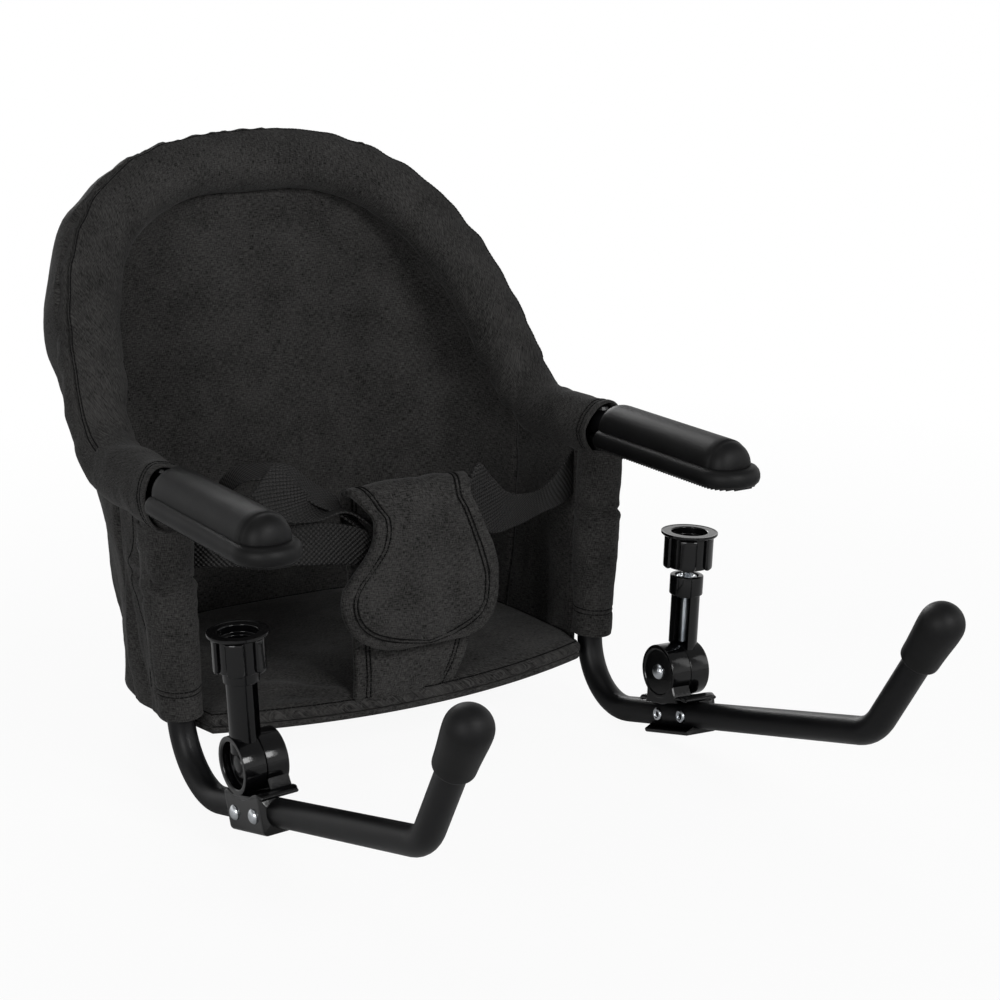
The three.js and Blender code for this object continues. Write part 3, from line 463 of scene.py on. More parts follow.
POWDER_COAT = coated("matt_black_powder_coat", "08080A", "0D0D0E", 0.42, 0.7 * MM, 0.35,
                     specular=0.2)
GLOSS_PLASTIC = coated("gloss_black_nylon", "040405", "080809", 0.14, 2.5 * MM, 0.25, vary=0.04,
                       specular=0.34)
SATIN_PLASTIC = coated("satin_black_acetal", "101011", "181819", 0.35, 0.8 * MM, 0.2,
                       specular=0.35)
RUBBER = coated("matt_black_rubber", "090909", "0E0E0F", 0.5, 0.6 * MM, 0.3, specular=0.18)
BLACK_OXIDE = coated("black_oxide_steel", "0A0A0B", "101011", 0.3, 0.8 * MM, 0.2, specular=0.35)
ZINC = coated("bright_zinc_plate", "B9BDC2", "DDE0E3", 0.24, 0.8 * MM, 0.15, metallic=1.0,
              vary=0.08)
HARDBOARD = coated("pressed_hardboard", "5C452E", "7A5D40", 0.75, 1.0 * MM, 0.6)
print("hard finishes:", POWDER_COAT.name, GLOSS_PLASTIC.name, RUBBER.name, ZINC.name)

# %% [markdown]
# ## Camera and light
# The camera stands where the photograph was taken from: about 1.5 m away, a little above the
# seat, off the child's right front. Large soft lamps and a pale floor light it evenly, and the
# white of the floor and world comes from their own colour.

# %% Camera
CAMERA_PLACE = (-0.7615, -1.2571, 0.3972)
CAMERA_AZIMUTH, CAMERA_HEIGHT, CAMERA_ROLL = (math.radians(a) for a in (-32.11, 15.09, 0.13))
LENS_MM = 81.36
camera = link("camera", bpy.data.cameras.new("camera"))
back = Vector((math.sin(CAMERA_AZIMUTH) * math.cos(CAMERA_HEIGHT),
               -math.cos(CAMERA_AZIMUTH) * math.cos(CAMERA_HEIGHT), math.sin(CAMERA_HEIGHT)))
right = (-back).cross(Vector((0, 0, 1))).normalized()
up = right.cross(-back)
tilted_right = right * math.cos(CAMERA_ROLL) + up * math.sin(CAMERA_ROLL)
tilted_up = up * math.cos(CAMERA_ROLL) - right * math.sin(CAMERA_ROLL)
turned = Matrix((tilted_right, tilted_up, back)).transposed()
camera.matrix_world = Matrix.Translation(CAMERA_PLACE) @ turned.to_4x4()
camera.data.lens = LENS_MM
camera.data.sensor_width = 36
bpy.context.scene.camera = camera
bpy.context.scene.view_settings.view_transform = "Standard"
print("camera looks along", [round(c, 3) for c in -back])

# %% Floor, world and lamps
def seen(tree, *kinds):
    """1 for rays of the named kinds, 0 for the rest."""
    path = node(tree, "ShaderNodeLightPath")
    total = path.outputs[kinds[0]]
    for kind in kinds[1:]:
        total = node(tree, "ShaderNodeMath", {0: total, 1: path.outputs[kind]},
                     operation="MAXIMUM").outputs[0]
    return total


def plain_floor(height, half=6.0):
    """A pale floor that keeps the object's shadow and shows white to the camera further out."""
    look, tree, shader = surface("pale_floor")
    feed(tree, shader, {"Base Color": srgb("F4F4F4"), "Roughness": 0.9})
    mesh = bpy.data.meshes.new("floor")
    corners = [(-half, -half), (half, -half), (half, half), (-half, half)]
    mesh.from_pydata([(x, y, height) for x, y in corners], [], [(0, 1, 2, 3)])
    mesh.materials.append(look)
    link("floor", mesh)
    bright = node(tree, "ShaderNodeEmission", {"Color": srgb("FFFFFF"), "Strength": 1.0})
    place = node(tree, "ShaderNodeTexCoord").outputs["Object"]
    away = node(tree, "ShaderNodeVectorMath", {0: place}, operation="LENGTH").outputs["Value"]
    white = node(tree, "ShaderNodeMapRange", {
        "Value": away, "From Min": 0.5, "From Max": 1.3, "To Min": 0.93, "To Max": 1.0})
    share = node(tree, "ShaderNodeMath", {
        0: seen(tree, "Is Camera Ray", "Is Transmission Ray"), 1: white.outputs["Result"]},
        operation="MULTIPLY").outputs[0]
    blend = node(tree, "ShaderNodeMixShader", {
        "Fac": share, 1: shader.outputs["BSDF"], 2: bright.outputs["Emission"]})
    feed(tree, tree.nodes["Material Output"], {"Surface": blend.outputs["Shader"]})


plain_floor(solid_box[0][2] - 0.5 * MM)

world = bpy.data.worlds.new("studio")
bpy.context.scene.world = world
world.use_nodes = True
tree = world.node_tree
ground = feed(tree, tree.nodes["Background"], {"Color": srgb("E6E9EC"), "Strength": 0.06})
way = node(tree, "ShaderNodeTexCoord").outputs["Generated"]
climb = node(tree, "ShaderNodeSeparateXYZ", {"Vector": way})
backdrop = node(tree, "ShaderNodeMapRange", {
    "Value": climb.outputs["Z"], "From Min": 0.2, "From Max": 0.6, "To Min": 1.0,
    "To Max": 0.3}).outputs["Result"]
white = node(tree, "ShaderNodeBackground", {"Color": srgb("FFFFFF"), "Strength": backdrop})
mix = node(tree, "ShaderNodeMixShader", {
    "Fac": seen(tree, "Is Camera Ray", "Is Transmission Ray", "Is Glossy Ray"),
    1: ground.outputs["Background"], 2: white.outputs["Background"]})
feed(tree, tree.nodes["World Output"], {"Surface": mix.outputs["Shader"]})


AIM = Vector((0, 0.1, 0))
LAMPS = {"front": ((0.2, -1.9, 1.0), (0.7, 0.7), 21), "left": ((-1.9, -1.3, 0.7), (0.8, 0.8), 18),
         "overhead": ((-0.5, 0.1, 1.8), (0.8, 0.8), 2.5),
         "back": ((0.5, 2.3, 0.9), (1.2, 1.2), 30),
         "right": ((1.7, -1.2, 0.9), (0.6, 1.2), 4)}
for name, (place, size, watts) in LAMPS.items():
    lamp = link(f"{name}_softbox", bpy.data.lights.new(f"{name}_softbox", "AREA"))
    lamp.data.shape = "RECTANGLE"
    lamp.data.size, lamp.data.size_y = size
    lamp.data.energy = watts
    lamp.location = place
    lamp.rotation_euler = (AIM - Vector(place)).to_track_quat("-Z", "Y").to_euler()

# %% [markdown]
# ## Frame tubes
# The upper tube is one bent piece: both arms and the hoop of the backrest. The hoop is a
# superellipse that leans back. Each lower tube comes down as the upright, turns forward as the
# run, and turns up as the hook. They are swept again here with enough sides to look round.

# %% Upper tube's path
def settle(piece, body, nodes):
    """Rides the piece on its body and hides the solids that it stands for."""
    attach(piece, body)
    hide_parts(*nodes)
    return piece


def hoop_half(height):
    """Half width of the hoop's centre line at a height in the hoop's own plane."""
    return ARM_HALF * (1 - np.clip(height / HOOP_HEIGHT, 0, 1) ** HOOP_POWER) ** (1 / HOOP_POWER)


def hoop_point(x, height):
    """A point of the leaning hoop's plane."""
    return np.array([x, HOOP_FOOT_Y + height * math.sin(HOOP_LEAN),
                     CORNER_DROP + height * math.cos(HOOP_LEAN)])


def upper_path(arm_front, step=5.0):
    """The upper tube's centre line, from the right arm's front round the hoop to the left."""
    foot = HOOP_BEND_R * math.tan((math.pi / 2 - HOOP_LEAN) / 2)
    side = rounded([((-ARM_HALF, arm_front, CORNER_DROP), 0),
                    ((-ARM_HALF, HOOP_FOOT_Y, CORNER_DROP), HOOP_BEND_R),
                    (hoop_point(-ARM_HALF, foot * 1.02), 0)])[:-1]
    arch = []
    for turn in np.linspace(0, math.pi / 2, 60)[1:]:
        height = HOOP_HEIGHT * math.sin(turn) ** (2 / HOOP_POWER)
        if height > foot * 1.3:
            arch.append(hoop_point(-float(hoop_half(height)), height))
    half = np.concatenate([side, arch])
    mirrored = half[:-1][::-1] * [-1, 1, 1]
    return evenly(np.concatenate([half, mirrored]), step)


ARM_FRONT = -146.0
upper_tube = lattice("upper_frame_tube_bent", hollow(upper_path(ARM_FRONT)), POWDER_COAT,
                     looped=True)
settle(upper_tube, "chair", ["upper_frame_tube"])
print("upper tube faces:", len(upper_tube.data.polygons))

# %% Lower tubes
CORNER_BEND_R = 46.0
RUN_END = (0, -328.0, 84.6)
HOOK_BEND_R = 34.0
HOOK_END = np.array([0, -380.0, 169.5])
UPRIGHT_TOP = CORNER_DROP / math.cos(SPLAY) - TUBE_R - 0.3
lower_path = evenly(rounded([((0, 0, UPRIGHT_TOP), 0), ((0, 0, 0), CORNER_BEND_R),
                             (RUN_END, HOOK_BEND_R), (tuple(HOOK_END), 0)], 24), 4.0)
for name, side in SIDES.items():
    tube = lattice(f"{name}_lower_tube_bent", side_point(side, hollow(lower_path)), POWDER_COAT,
                   looped=True)
    settle(tube, "chair", [f"{name}_lower_frame_tube"])
print("lower path", len(lower_path), "points")

# %% [markdown]
# ## Turned pieces
# Caps, hubs, knobs and rivets are round about an axis, so each is a profile of radius and
# height, with its corners eased as a mould or a press leaves them.

# %% Turn a profile
def eased(profile, radius=0.5, steps=3):
    """The profile with small arcs at its inner corners, none longer than its neighbours allow."""
    points = [np.array(p, float) for p in profile]
    out = [points[0]]
    for before, here, after in zip(points, points[1:], points[2:]):
        back, on = before - here, after - here
        reach = min(radius, 0.45 * np.linalg.norm(back), 0.45 * np.linalg.norm(on))
        start, end = here + unit(back) * reach, here + unit(on) * reach
        for share in np.linspace(0, 1, steps + 1):
            out.append((1 - share) ** 2 * start + 2 * share * (1 - share) * here + share ** 2
                       * end)
    out.append(points[-1])
    return np.array(out)


def turned_rows(profile, count=48, ease=0.5):
    """Rows of points about the z axis for a profile that starts and ends on the axis."""
    r, z = eased(profile, ease).T[..., None]
    r, turn = np.maximum(r, 1e-4), full_turn(count)
    return np.stack([r * np.cos(turn), r * np.sin(turn), z + 0 * turn], axis=-1)


def facing(points, axis):
    """Turns a piece made about z so that z points along the axis."""
    quaternion = Vector((0, 0, 1)).rotation_difference(Vector(axis))
    return np.asarray(points) @ np.array(quaternion.to_matrix()).T


def sharpen(piece, degrees=38):
    """Keeps an edge crisp where its faces meet at more than this angle."""
    with opened(piece.data) as work:
        for edge in work.edges:
            edge.smooth = edge.calc_face_angle(0) < math.radians(degrees)


def join(piece, *parts):
    """Joins the parts to the piece, which keeps its name."""
    bpy.ops.object.select_all(action="DESELECT")
    for part in (piece, *parts):
        part.select_set(True)
    bpy.context.view_layer.objects.active = piece
    if parts:
        bpy.ops.object.join()


def repaint(thing, look):
    """Gives an object one finish in place of those it has."""
    thing.data.materials.clear()
    thing.data.materials.append(look)


def joined(name, parts, look, body, nodes):
    """Several shells as one piece that rides on a body and stands for its solids."""
    piece = parts[0]
    join(*parts)
    piece.name = piece.data.name = name
    repaint(piece, look)
    return settle(piece, body, nodes)


def shell(points, look=None, smooth=True):
    """A closed lattice that becomes part of a piece, gloss plastic unless another is given."""
    return lattice("shell", points, look or GLOSS_PLASTIC, smooth=smooth)


print("turning helpers ready")

# %% [markdown]
# The rubber caps are pushed onto the hooks' ends. They widen a little towards their round nose
# and end in an eased edge round the tube.

# %% Rubber end caps
CAP_R, CAP_LENGTH, CAP_DEPTH = 14.6, 48.0, 31.0
HOOK_ANGLE = math.atan2(HOOK_END[2] - RUN_END[2], RUN_END[1] - HOOK_END[1])
HOOK_WAY = np.array([0, -math.cos(HOOK_ANGLE), math.sin(HOOK_ANGLE)])
nose = [(CAP_R * math.cos(t), CAP_LENGTH - CAP_R + CAP_R * math.sin(t))
        for t in np.linspace(0, math.pi / 2, 14)]
cap_profile = [(0, CAP_DEPTH), (TUBE_R + 0.3, CAP_DEPTH), (TUBE_R + 0.3, 0.4), (CAP_R - 2.6, 0),
               (CAP_R - 1.7, 1.2), (CAP_R - 1.5, 4), (CAP_R - 1.3, 10), (CAP_R - 0.8, 18),
               (CAP_R - 0.2, 26), (CAP_R, 30)] + nose
for name, side in SIDES.items():
    cap = facing(turned_rows(cap_profile, 48, 1.2), HOOK_WAY) + HOOK_END - HOOK_WAY * CAP_DEPTH
    piece = lattice(f"{name}_hook_cap_rubber", side_point(side, cap), RUBBER)
    settle(piece, "chair", [f"{name}_tube_end_cap"])
print("cap profile points:", len(cap_profile))

# %% [markdown]
# ## Armrest pads
# Each pad is one rubber moulding: a half-round dome over the tube with a bulging nose, on a
# wider flange with a rounded edge. The sole has fine cross ribs that grip the table. The dome
# and flange are two closed shells that run into each other, which keeps the crease between them.

# %% Dome and flange
PAD_FRONT, PAD_REAR = -177.5, -20.0
DOME_R, FLANGE_HALF, FLANGE_TOP, TOOTH = 18.0, 23.0, 14.0, 1.4


def dome_rows():
    """Half-round sections along the pad, shrunk at its nose and at its rear edge."""
    rows = []
    turn = np.linspace(0, math.pi, 25)
    nose_y, crease_y = PAD_FRONT + 10, PAD_FRONT + 22.5
    stations = [(nose_y + (crease_y - nose_y) * (1 - math.cos(t)), 0.955 * math.sin(t) ** 0.8)
                for t in np.linspace(0.12, math.pi / 2, 10)]
    stations += [(crease_y + 0.5, 0.975), (crease_y + 1.6, 1.0)]
    stations += [(y, 1.0) for y in np.linspace(crease_y + 8, PAD_REAR - 9, 12)]
    stations += [(PAD_REAR - 9 + 9 * math.sin(t), 1 - 0.16 * (1 - math.cos(t)))
                 for t in np.linspace(0.3, math.pi / 2, 6)]
    for y, share in stations:
        arch = [(DOME_R * share * math.cos(t), y,
                 CORNER_DROP - 3 + (DOME_R * math.sin(t) + 3) * share) for t in turn]
        arch += [(x, y, CORNER_DROP - 7) for x in np.linspace(-DOME_R * share, DOME_R * share, 5)]
        rows.append(arch)
    return np.array(rows)


def flange_outline(half, rear):
    """Plan of the flange, from the rear right corner round the front to the rear left corner."""
    centre = PAD_FRONT + FLANGE_HALF
    front = [(half * math.cos(t), centre - half * math.sin(t))
             for t in np.linspace(0, math.pi, 37)]
    corner = 5.0
    side_ys = np.linspace(centre, rear - corner, 10)[1:]
    left = [(-half, y) for y in side_ys]
    left += [(-half + corner - corner * math.cos(t), rear - corner + corner * math.sin(t))
             for t in np.linspace(0.3, math.pi / 2, 5)]
    right = [(-x, y) for x, y in left[::-1]]
    return front + left + right


def flange_rows():
    """Outlines of the flange from its sole to its top."""
    low = CORNER_DROP - ARM_HEIGHT + TOOTH
    high = FLANGE_TOP - TOOTH
    edge = [(12, 0), (5, 0), (2.2, 0.5), (0.7, 2.0), (0, 4.4), (0.1, 7.0), (0.9, 9.6), (2.6, 11.6),
            (5.0, high), (9, high - 0.2), (14, high - 0.8)]
    return np.array([[(x, y, low + rise) for x,
                      y in flange_outline(FLANGE_HALF - inset, PAD_REAR - 0.3 * inset)]
                     for inset, rise in edge])


print("dome rows", dome_rows().shape, "flange rows", flange_rows().shape)

# %% [markdown]
# The sole's ribs repeat every 3 mm, so Geometry Nodes make them: a line of points, one small
# triangular rib on each, made shorter where the flange's round front narrows.

# %% Node helper for repeats
def node_group(name, numbers):
    """A geometry group with named numbers; returns the tree and what goes into it."""
    tree = bpy.data.node_groups.new(name, "GeometryNodeTree")
    tree.interface.new_socket("Geometry", in_out="INPUT", socket_type="NodeSocketGeometry")
    for key, value in numbers.items():
        made = tree.interface.new_socket(key, in_out="INPUT", socket_type="NodeSocketFloat")
        made.default_value = value
    tree.interface.new_socket("Geometry", in_out="OUTPUT", socket_type="NodeSocketGeometry")
    return tree, tree.nodes.new("NodeGroupInput").outputs


def group_result(tree, geometry, look):
    """Ends a group: the geometry made real, with its finish. Returns the group."""
    real = node(tree, "GeometryNodeRealizeInstances", {"Geometry": geometry})
    painted = node(tree, "GeometryNodeSetMaterial", {
        "Geometry": real.outputs["Geometry"], "Material": look})
    node(tree, "NodeGroupOutput", {"Geometry": painted.outputs["Geometry"]})
    return tree


def evaluated(thing):
    """A new mesh with the object's modifiers applied, which are taken off."""
    graph = bpy.context.evaluated_depsgraph_get()
    graph.update()
    mesh = bpy.data.meshes.new_from_object(thing.evaluated_get(graph))
    thing.modifiers.clear()
    return mesh


def grown(base, tree, values, name):
    """Runs the group on the base object and returns the result as a plain mesh piece."""
    modifier = base.modifiers.new("grow", "NODES")
    modifier.node_group = tree
    for item in tree.interface.items_tree:
        if item.in_out == "INPUT" and item.name in values:
            modifier[item.identifier] = values[item.name]
    mesh = evaluated(base)
    bpy.data.objects.remove(base)
    mesh.name = name
    return link(name, mesh)


def wire(name, points):
    """A bare line of points, the base that stitches and ribs grow on."""
    mesh = bpy.data.meshes.new(name)
    edges = [(i, i + 1) for i in range(len(points) - 1)]
    mesh.from_pydata([tuple(p) for p in in_part(points)], edges, [])
    return link(name, mesh)


# %% Rib tree
def rib_tree(look):
    """A three-sided rib on each point, as long as the point's width says."""
    tree, given = node_group("sole_ribs", {"Rib size": 1.4 * MM})
    bar = node(tree, "GeometryNodeMeshCylinder", {
        "Vertices": 3, "Radius": given["Rib size"], "Depth": 1.0})
    laid = node(tree, "GeometryNodeTransform", {
        "Geometry": bar.outputs["Mesh"], "Rotation": (0, math.pi / 2, 0)})
    width = node(tree, "GeometryNodeInputNamedAttribute", {"Name": "width"}, data_type="FLOAT")
    scale = node(tree, "ShaderNodeCombineXYZ",
                 {"X": width.outputs["Attribute"], "Y": 1.0, "Z": 1.0})
    placed = node(tree, "GeometryNodeInstanceOnPoints", {
        "Points": given["Geometry"], "Instance": laid.outputs["Geometry"],
        "Scale": scale.outputs["Vector"]})
    return group_result(tree, placed.outputs["Instances"], look)


RIB_PITCH = 3.0
ribs = rib_tree(RUBBER)
for name, side in SIDES.items():
    centre_y, half = PAD_FRONT + FLANGE_HALF, FLANGE_HALF - 3.4
    ys = np.arange(centre_y - half + 1.5, PAD_REAR - 3, RIB_PITCH)
    widths = [2 * math.sqrt(max(half ** 2 - min(y - centre_y, 0) ** 2, 1)) * MM for y in ys]
    base = wire(f"{name}_rib_line", [(side * ARM_HALF, y, CORNER_DROP - ARM_HEIGHT + TOOTH)
                                     for y in ys])
    widths_on = base.data.attributes.new("width", "FLOAT", "POINT")
    widths_on.data.foreach_set("value", widths)
    sole = grown(base, ribs, {"Rib size": TOOTH * MM}, f"{name}_sole_ribs")
    dome, flange = (shell(rows + [side * ARM_HALF, 0, 0], RUBBER)
                    for rows in (dome_rows(), flange_rows()))
    pad = joined(f"{name}_armrest_rubber", [dome, flange, sole], RUBBER, "chair",
                 [f"{name}_armrest_pad"])
    print(pad.name, "faces", len(pad.data.polygons), "ribs", len(ys))

# %% [markdown]
# ## Table clamps
# A clamp has a saddle riveted over the run, and an arm that swings on a rivet beside it. The
# arm's column holds a nut and a long screw, and the hand knob on the screw presses up against
# the table from below. Saddle, arm and knob are glossy moulded plastic. The left knob stands
# 12.6 mm further out than the right one, as in the photograph.

# %% Clamp sizes and their frames
PIVOT = np.array([0, -112.0, 62.5])
BARREL_R, BARREL_HALF = 19.5, 16.0
SADDLE_HALF, SADDLE_WALL, SADDLE_OUTER, SHELL = 26.0, 3.0, 13.6, 9.8
POCKET_R, POCKET_DEPTH = 15.6, 6.6
COLUMN_OFFSET, COLUMN_R, COLUMN_TOP = 5.0, 10.3, 70.5
COLLAR_R, COLLAR_HEIGHT = 12.0, 14.0
NUT_R, NUT_HEIGHT, SCREW_R, SCREW_LENGTH = 7.5, 6.5, 4.0, 65.0
KNOB_FLANGE_R, KNOB_FLANGE, KNOB_R, KNOB_HEIGHT = 20.3, 2.6, 15.0, 26.0
CUP_R, CUP_DEPTH, KNOB_WEB, GRIP_OUT, GRIPS = 13.0, 14.0, 5.0, 17.6, 5
RIVET_PITCH = 28.6
KNOB_OUT = {"left": 12.6, "right": 0.0}
RUN_ANGLE = math.atan2(RUN_END[2], -RUN_END[1])
RUN_WAY = np.array([0, -math.cos(RUN_ANGLE), math.sin(RUN_ANGLE)])
CLAMP_FOOT = RUN_WAY * float(PIVOT @ RUN_WAY)
PIVOT_W = float(np.linalg.norm(PIVOT - CLAMP_FOOT))


def seat_point(side, points):
    """Saddle points (outwards, back along the run, up from the run) to millimetres."""
    turned = np.asarray(points, float) * [side, 1,
                                          1] @ np.array(Matrix.Rotation(-RUN_ANGLE, 3, "X")).T
    return side_point(side, turned + CLAMP_FOOT)


def arm_point(side, points):
    """Clamp arm points (outwards, back, up from the pivot) to millimetres."""
    return side_point(side, np.asarray(points, float) * [side, 1, 1] + PIVOT)


def along_x(rows):
    """Turned rows about z laid so that their axis points outwards."""
    return np.stack([rows[..., 2], rows[..., 0], rows[..., 1]], axis=-1)


print("pivot", round(PIVOT_W, 1), "mm above the run")

# %% [markdown]
# The saddle's section is a thick outer wall, a plate over the run and a lip below it. The plate's
# edge waves, and its ends curl up as small wings. Between plate and pivot stands a flared neck
# with a flat disc that has a raised rim.

# %% Saddle
def saddle_block():
    """Sections of the outer wall with the lip below and the channel for the tube."""
    rows = []
    channel = [(SHELL * math.cos(t), SHELL * math.sin(t))
               for t in np.linspace(math.pi / 2, -math.pi / 2, 15)]
    for y in np.concatenate([[-SADDLE_HALF, -SADDLE_HALF + 0.4, -SADDLE_HALF + 1],
                             np.linspace(-23, 23, 17),
                             [SADDLE_HALF - 1, SADDLE_HALF - 0.4, SADDLE_HALF]]):
        ease = 0.6 * (1 - math.sqrt(max(0, 1 - max(0, abs(y) - SADDLE_HALF + 1) ** 2)))
        o, z = SADDLE_OUTER - ease, SHELL + SADDLE_WALL - ease
        outline = [(-1, z - 0.2), (o - 1, z), (o - 0.3, z - 0.3), (o, z - 1), (o, -z + 3.0),
                   (o - 0.4, -z + 1.6), (o - 1.6, -z + 0.3), (o - 3, -z),
                   (-SADDLE_OUTER + 0.6, -z), (-SADDLE_OUTER, -z + 0.6),
                   (-SADDLE_OUTER, -SHELL - 0.6), (-SADDLE_OUTER + 0.6, -SHELL), (-1.4, -SHELL)]
        rows.append([(px, y, pz) for px, pz in outline + channel[::-1]])
    return np.array(rows)


def wave(y):
    """Height of the plate's middle: low under the hub, up again at the wings."""
    y = np.abs(y)
    wings = 2.6 * smoothstep(y, 11, 21) - 1.8 * smoothstep(y, 23, 29)
    return 11.0 + wings - 0.9 * smoothstep(-y, -9, 0)


def plate_middle():
    """The middle of the wavy plate over the run."""
    ys = np.linspace(-SADDLE_HALF - 3.4, SADDLE_HALF + 2.6, 45)
    os = np.linspace(-BARREL_HALF + 0.6, SADDLE_OUTER + 0.3, 9)
    rows = []
    for y in ys:
        narrow = 1 - 0.1 * smoothstep(np.abs(y), 24, 29)
        rows.append([(o * narrow, y, float(wave(y))) for o in os])
    return np.array(rows)


def facing_out(points):
    """The normal at each point of a lattice."""
    return unit(np.cross(np.gradient(points, axis=1), np.gradient(points, axis=0)))


def sheet_points(middle, thick, ends=4):
    """Front and back lattices of a sheet with rounded edges, from its middle surface."""
    middle = np.asarray(middle, float)

    def stretched(points, axis):
        points = np.moveaxis(points, axis, 0)
        turn = np.linspace(0, math.pi / 2, ends + 1)[:-1]
        first, last = points[0], points[-1]
        before, after = unit(first - points[1]), unit(last - points[-2])
        head = [first + before * thick / 2 * (math.cos(t) - 1) for t in turn]
        tail = [last + after * thick / 2 * (math.cos(t) - 1) for t in turn[::-1]]
        # the last steps curl in, so the sheet ends exactly where its middle does
        grown_points = np.concatenate([head, points[1:-1], tail])
        return np.moveaxis(grown_points, 0, axis), turn

    points, turn = stretched(middle, 0)
    points, _ = stretched(points, 1)
    rows, columns = points.shape[:2]

    def shares(count):
        share = np.ones(count)
        for k, t in enumerate(turn):
            share[k] = share[count - 1 - k] = math.sin(t)
        return share

    thickness = np.minimum.outer(shares(rows), shares(columns)) * thick
    return points, facing_out(points), thickness


def sheet_piece(name, middle, thick, look, front=None, back_push=None):
    """A closed sheet with rounded edges; front and back_push move its faces along their normal."""
    points, normal, thickness = sheet_points(middle, thick)
    rows, columns = points.shape[:2]
    edge = thickness / max(float(np.max(thickness)), 1e-9)
    push = 0 if front is None else front(points) * edge
    pull = 0 if back_push is None else back_push(points) * edge
    face = points + normal * (thickness / 2 + push)[..., None]
    rear = points - normal * (thickness / 2 + pull)[..., None]
    u, v = spans(points, 1) * MM, spans(points, 0) * MM
    faces, corners = lattice_faces(rows, columns)
    more, more_corners = lattice_faces(rows, columns, start=rows * columns)
    faces += [f[::-1] for f in more]
    uvs = [(u[r, c], v[r, c]) for cell in corners for r, c in cell]
    uvs += [(u[r, c], v[r, c]) for cell in more_corners for r, c in cell[::-1]]
    flat = np.concatenate([face.reshape(-1, 3), rear.reshape(-1, 3)])
    return finish_mesh(name, flat, faces, look, uvs)


print("saddle rows", saddle_block().shape)

# %% Saddle pieces, both sides
def neck_rows():
    """Flat rounded sections that flare from the disc down to the plate."""
    rows = []
    for share in np.linspace(0, 1, 12):
        flare = math.sin(share * math.pi / 2) ** 0.7
        wide = (SADDLE_HALF - 6) + (BARREL_R * 0.8 - SADDLE_HALF + 6) * flare
        z = SHELL + 0.5 + (PIVOT_W - 6 - SHELL) * share
        edge = [(-BARREL_HALF + 0.6, wide - 0.8), (-BARREL_HALF + 1.4, wide), (-1.1, wide),
                (-0.3, wide - 0.8)]
        rows.append([(o, -y, z) for o, y in edge] + [(o, y, z) for o, y in edge[::-1]])
    return np.array(rows)


DISC = [(0, -BARREL_HALF + 0.9), (BARREL_R - 3.4, -BARREL_HALF + 0.9),
        (BARREL_R - 2.6, -BARREL_HALF), (BARREL_R - 0.6, -BARREL_HALF),
        (BARREL_R, -BARREL_HALF + 0.7), (BARREL_R, -0.3), (0, -0.3)]
for name, side in SIDES.items():
    disc_rows = along_x(turned_rows(DISC, 64, 0.35)) + [0, 0, PIVOT_W]
    shells = [shell(seat_point(side, rows)) for rows in (saddle_block(), neck_rows(), disc_rows)]
    shells.insert(1, sheet_piece("wings", seat_point(side, plate_middle()), 3.0, GLOSS_PLASTIC))
    saddle = joined(f"{name}_saddle_moulding", shells, GLOSS_PLASTIC, "chair",
                    [f"{name}_clamp_saddle"])
    sharpen(saddle)
print("saddles made")

# %% [markdown]
# Each saddle is fixed by two hollow rivets. Outside they show a domed head, and inside on the
# tube a rolled ring round a small hole.

# %% Saddle rivets and pivot rivet
HEAD = [(0, -0.2), (5.2, -0.2), (5.2, 0.5), (4.5, 1.6), (3.2, 2.5), (1.6, 2.9), (0, 3.0)]
DOME = [(0, -0.2), (5.9, -0.2), (5.9, 0.5), (5.0, 1.9), (3.0, 3.1), (0, 3.5)]
WASHER = [(0, 0.2), (10, 0.2), (10, 1.0), (9.2, 1.6), (6.6, 1.8), (5.8, 3.0), (3.6, 3.6), (0, 3.8)]
ROLLED = [(0, -1.0), (4.6, -1.0), (4.9, 0.3), (4.3, 1.3), (3.3, 1.5), (2.4, 1.1), (1.9, 0.2),
          (1.9, -0.8), (0, -0.8)]
for name, side in SIDES.items():
    for place, y in (("front", -RIVET_PITCH / 2), ("rear", RIVET_PITCH / 2)):
        head = along_x(turned_rows(HEAD, 32, 0.6)) + [SADDLE_OUTER + 0.1, y, 0]
        tail = along_x(turned_rows(ROLLED, 32, 0.4)) * [-1, 1, 1] + [-TUBE_R + 0.3, y, 0]
        shells = [shell(seat_point(side, rows), ZINC) for rows in (head, tail)]
        joined(f"{name}_{place}_hollow_rivet", shells, ZINC, "chair", [f"{name}_{place}_rivet"])
    dome = along_x(turned_rows(DOME, 32, 0.7)) * [-1, 1, 1] + [-BARREL_HALF + 0.9, 0, 0]
    washer = along_x(turned_rows(WASHER, 40, 0.5)) + [BARREL_HALF - POCKET_DEPTH, 0, 0]
    for part, rows, look in (("pivot_rivet", dome, ZINC), ("pivot_washer", washer, BLACK_OXIDE)):
        piece = lattice(f"{name}_{part}_domed", arm_point(side, rows), look)
        settle(piece, f"{name}_clamp_arm", [f"{name}_{part}"])
print("rivets made")

# %% [markdown]
# The arm is a hub with a deep pocket on its outer side and a column with a slot that shows the
# screw. The slot, the screw's bore and the nut's pocket are cut out with booleans.

# %% Arm
def boolean(target, tool, operation="DIFFERENCE"):
    """Cuts the tool out of the target, or adds it, and drops the tool."""
    cutter = target.modifiers.new("cut", "BOOLEAN")
    cutter.operation, cutter.object, cutter.solver = operation, tool, "MANIFOLD"
    target.data = evaluated(target)
    bpy.data.objects.remove(tool)


def upright_rod(radius, low, high, count=48, ease=0.6):
    """Rows of a plain cylinder about z."""
    return turned_rows([(0, low), (radius, low), (radius, high), (0, high)], count, ease)


def block(x_from, x_to, y_from, y_to, z_from, z_to):
    """Rows of a square block."""
    corners = [(x_from, y_from), (x_to, y_from), (x_to, y_to), (x_from, y_to)]
    return np.array([[(x, y, z) for x, y in corners] for z in (z_from, z_to)])


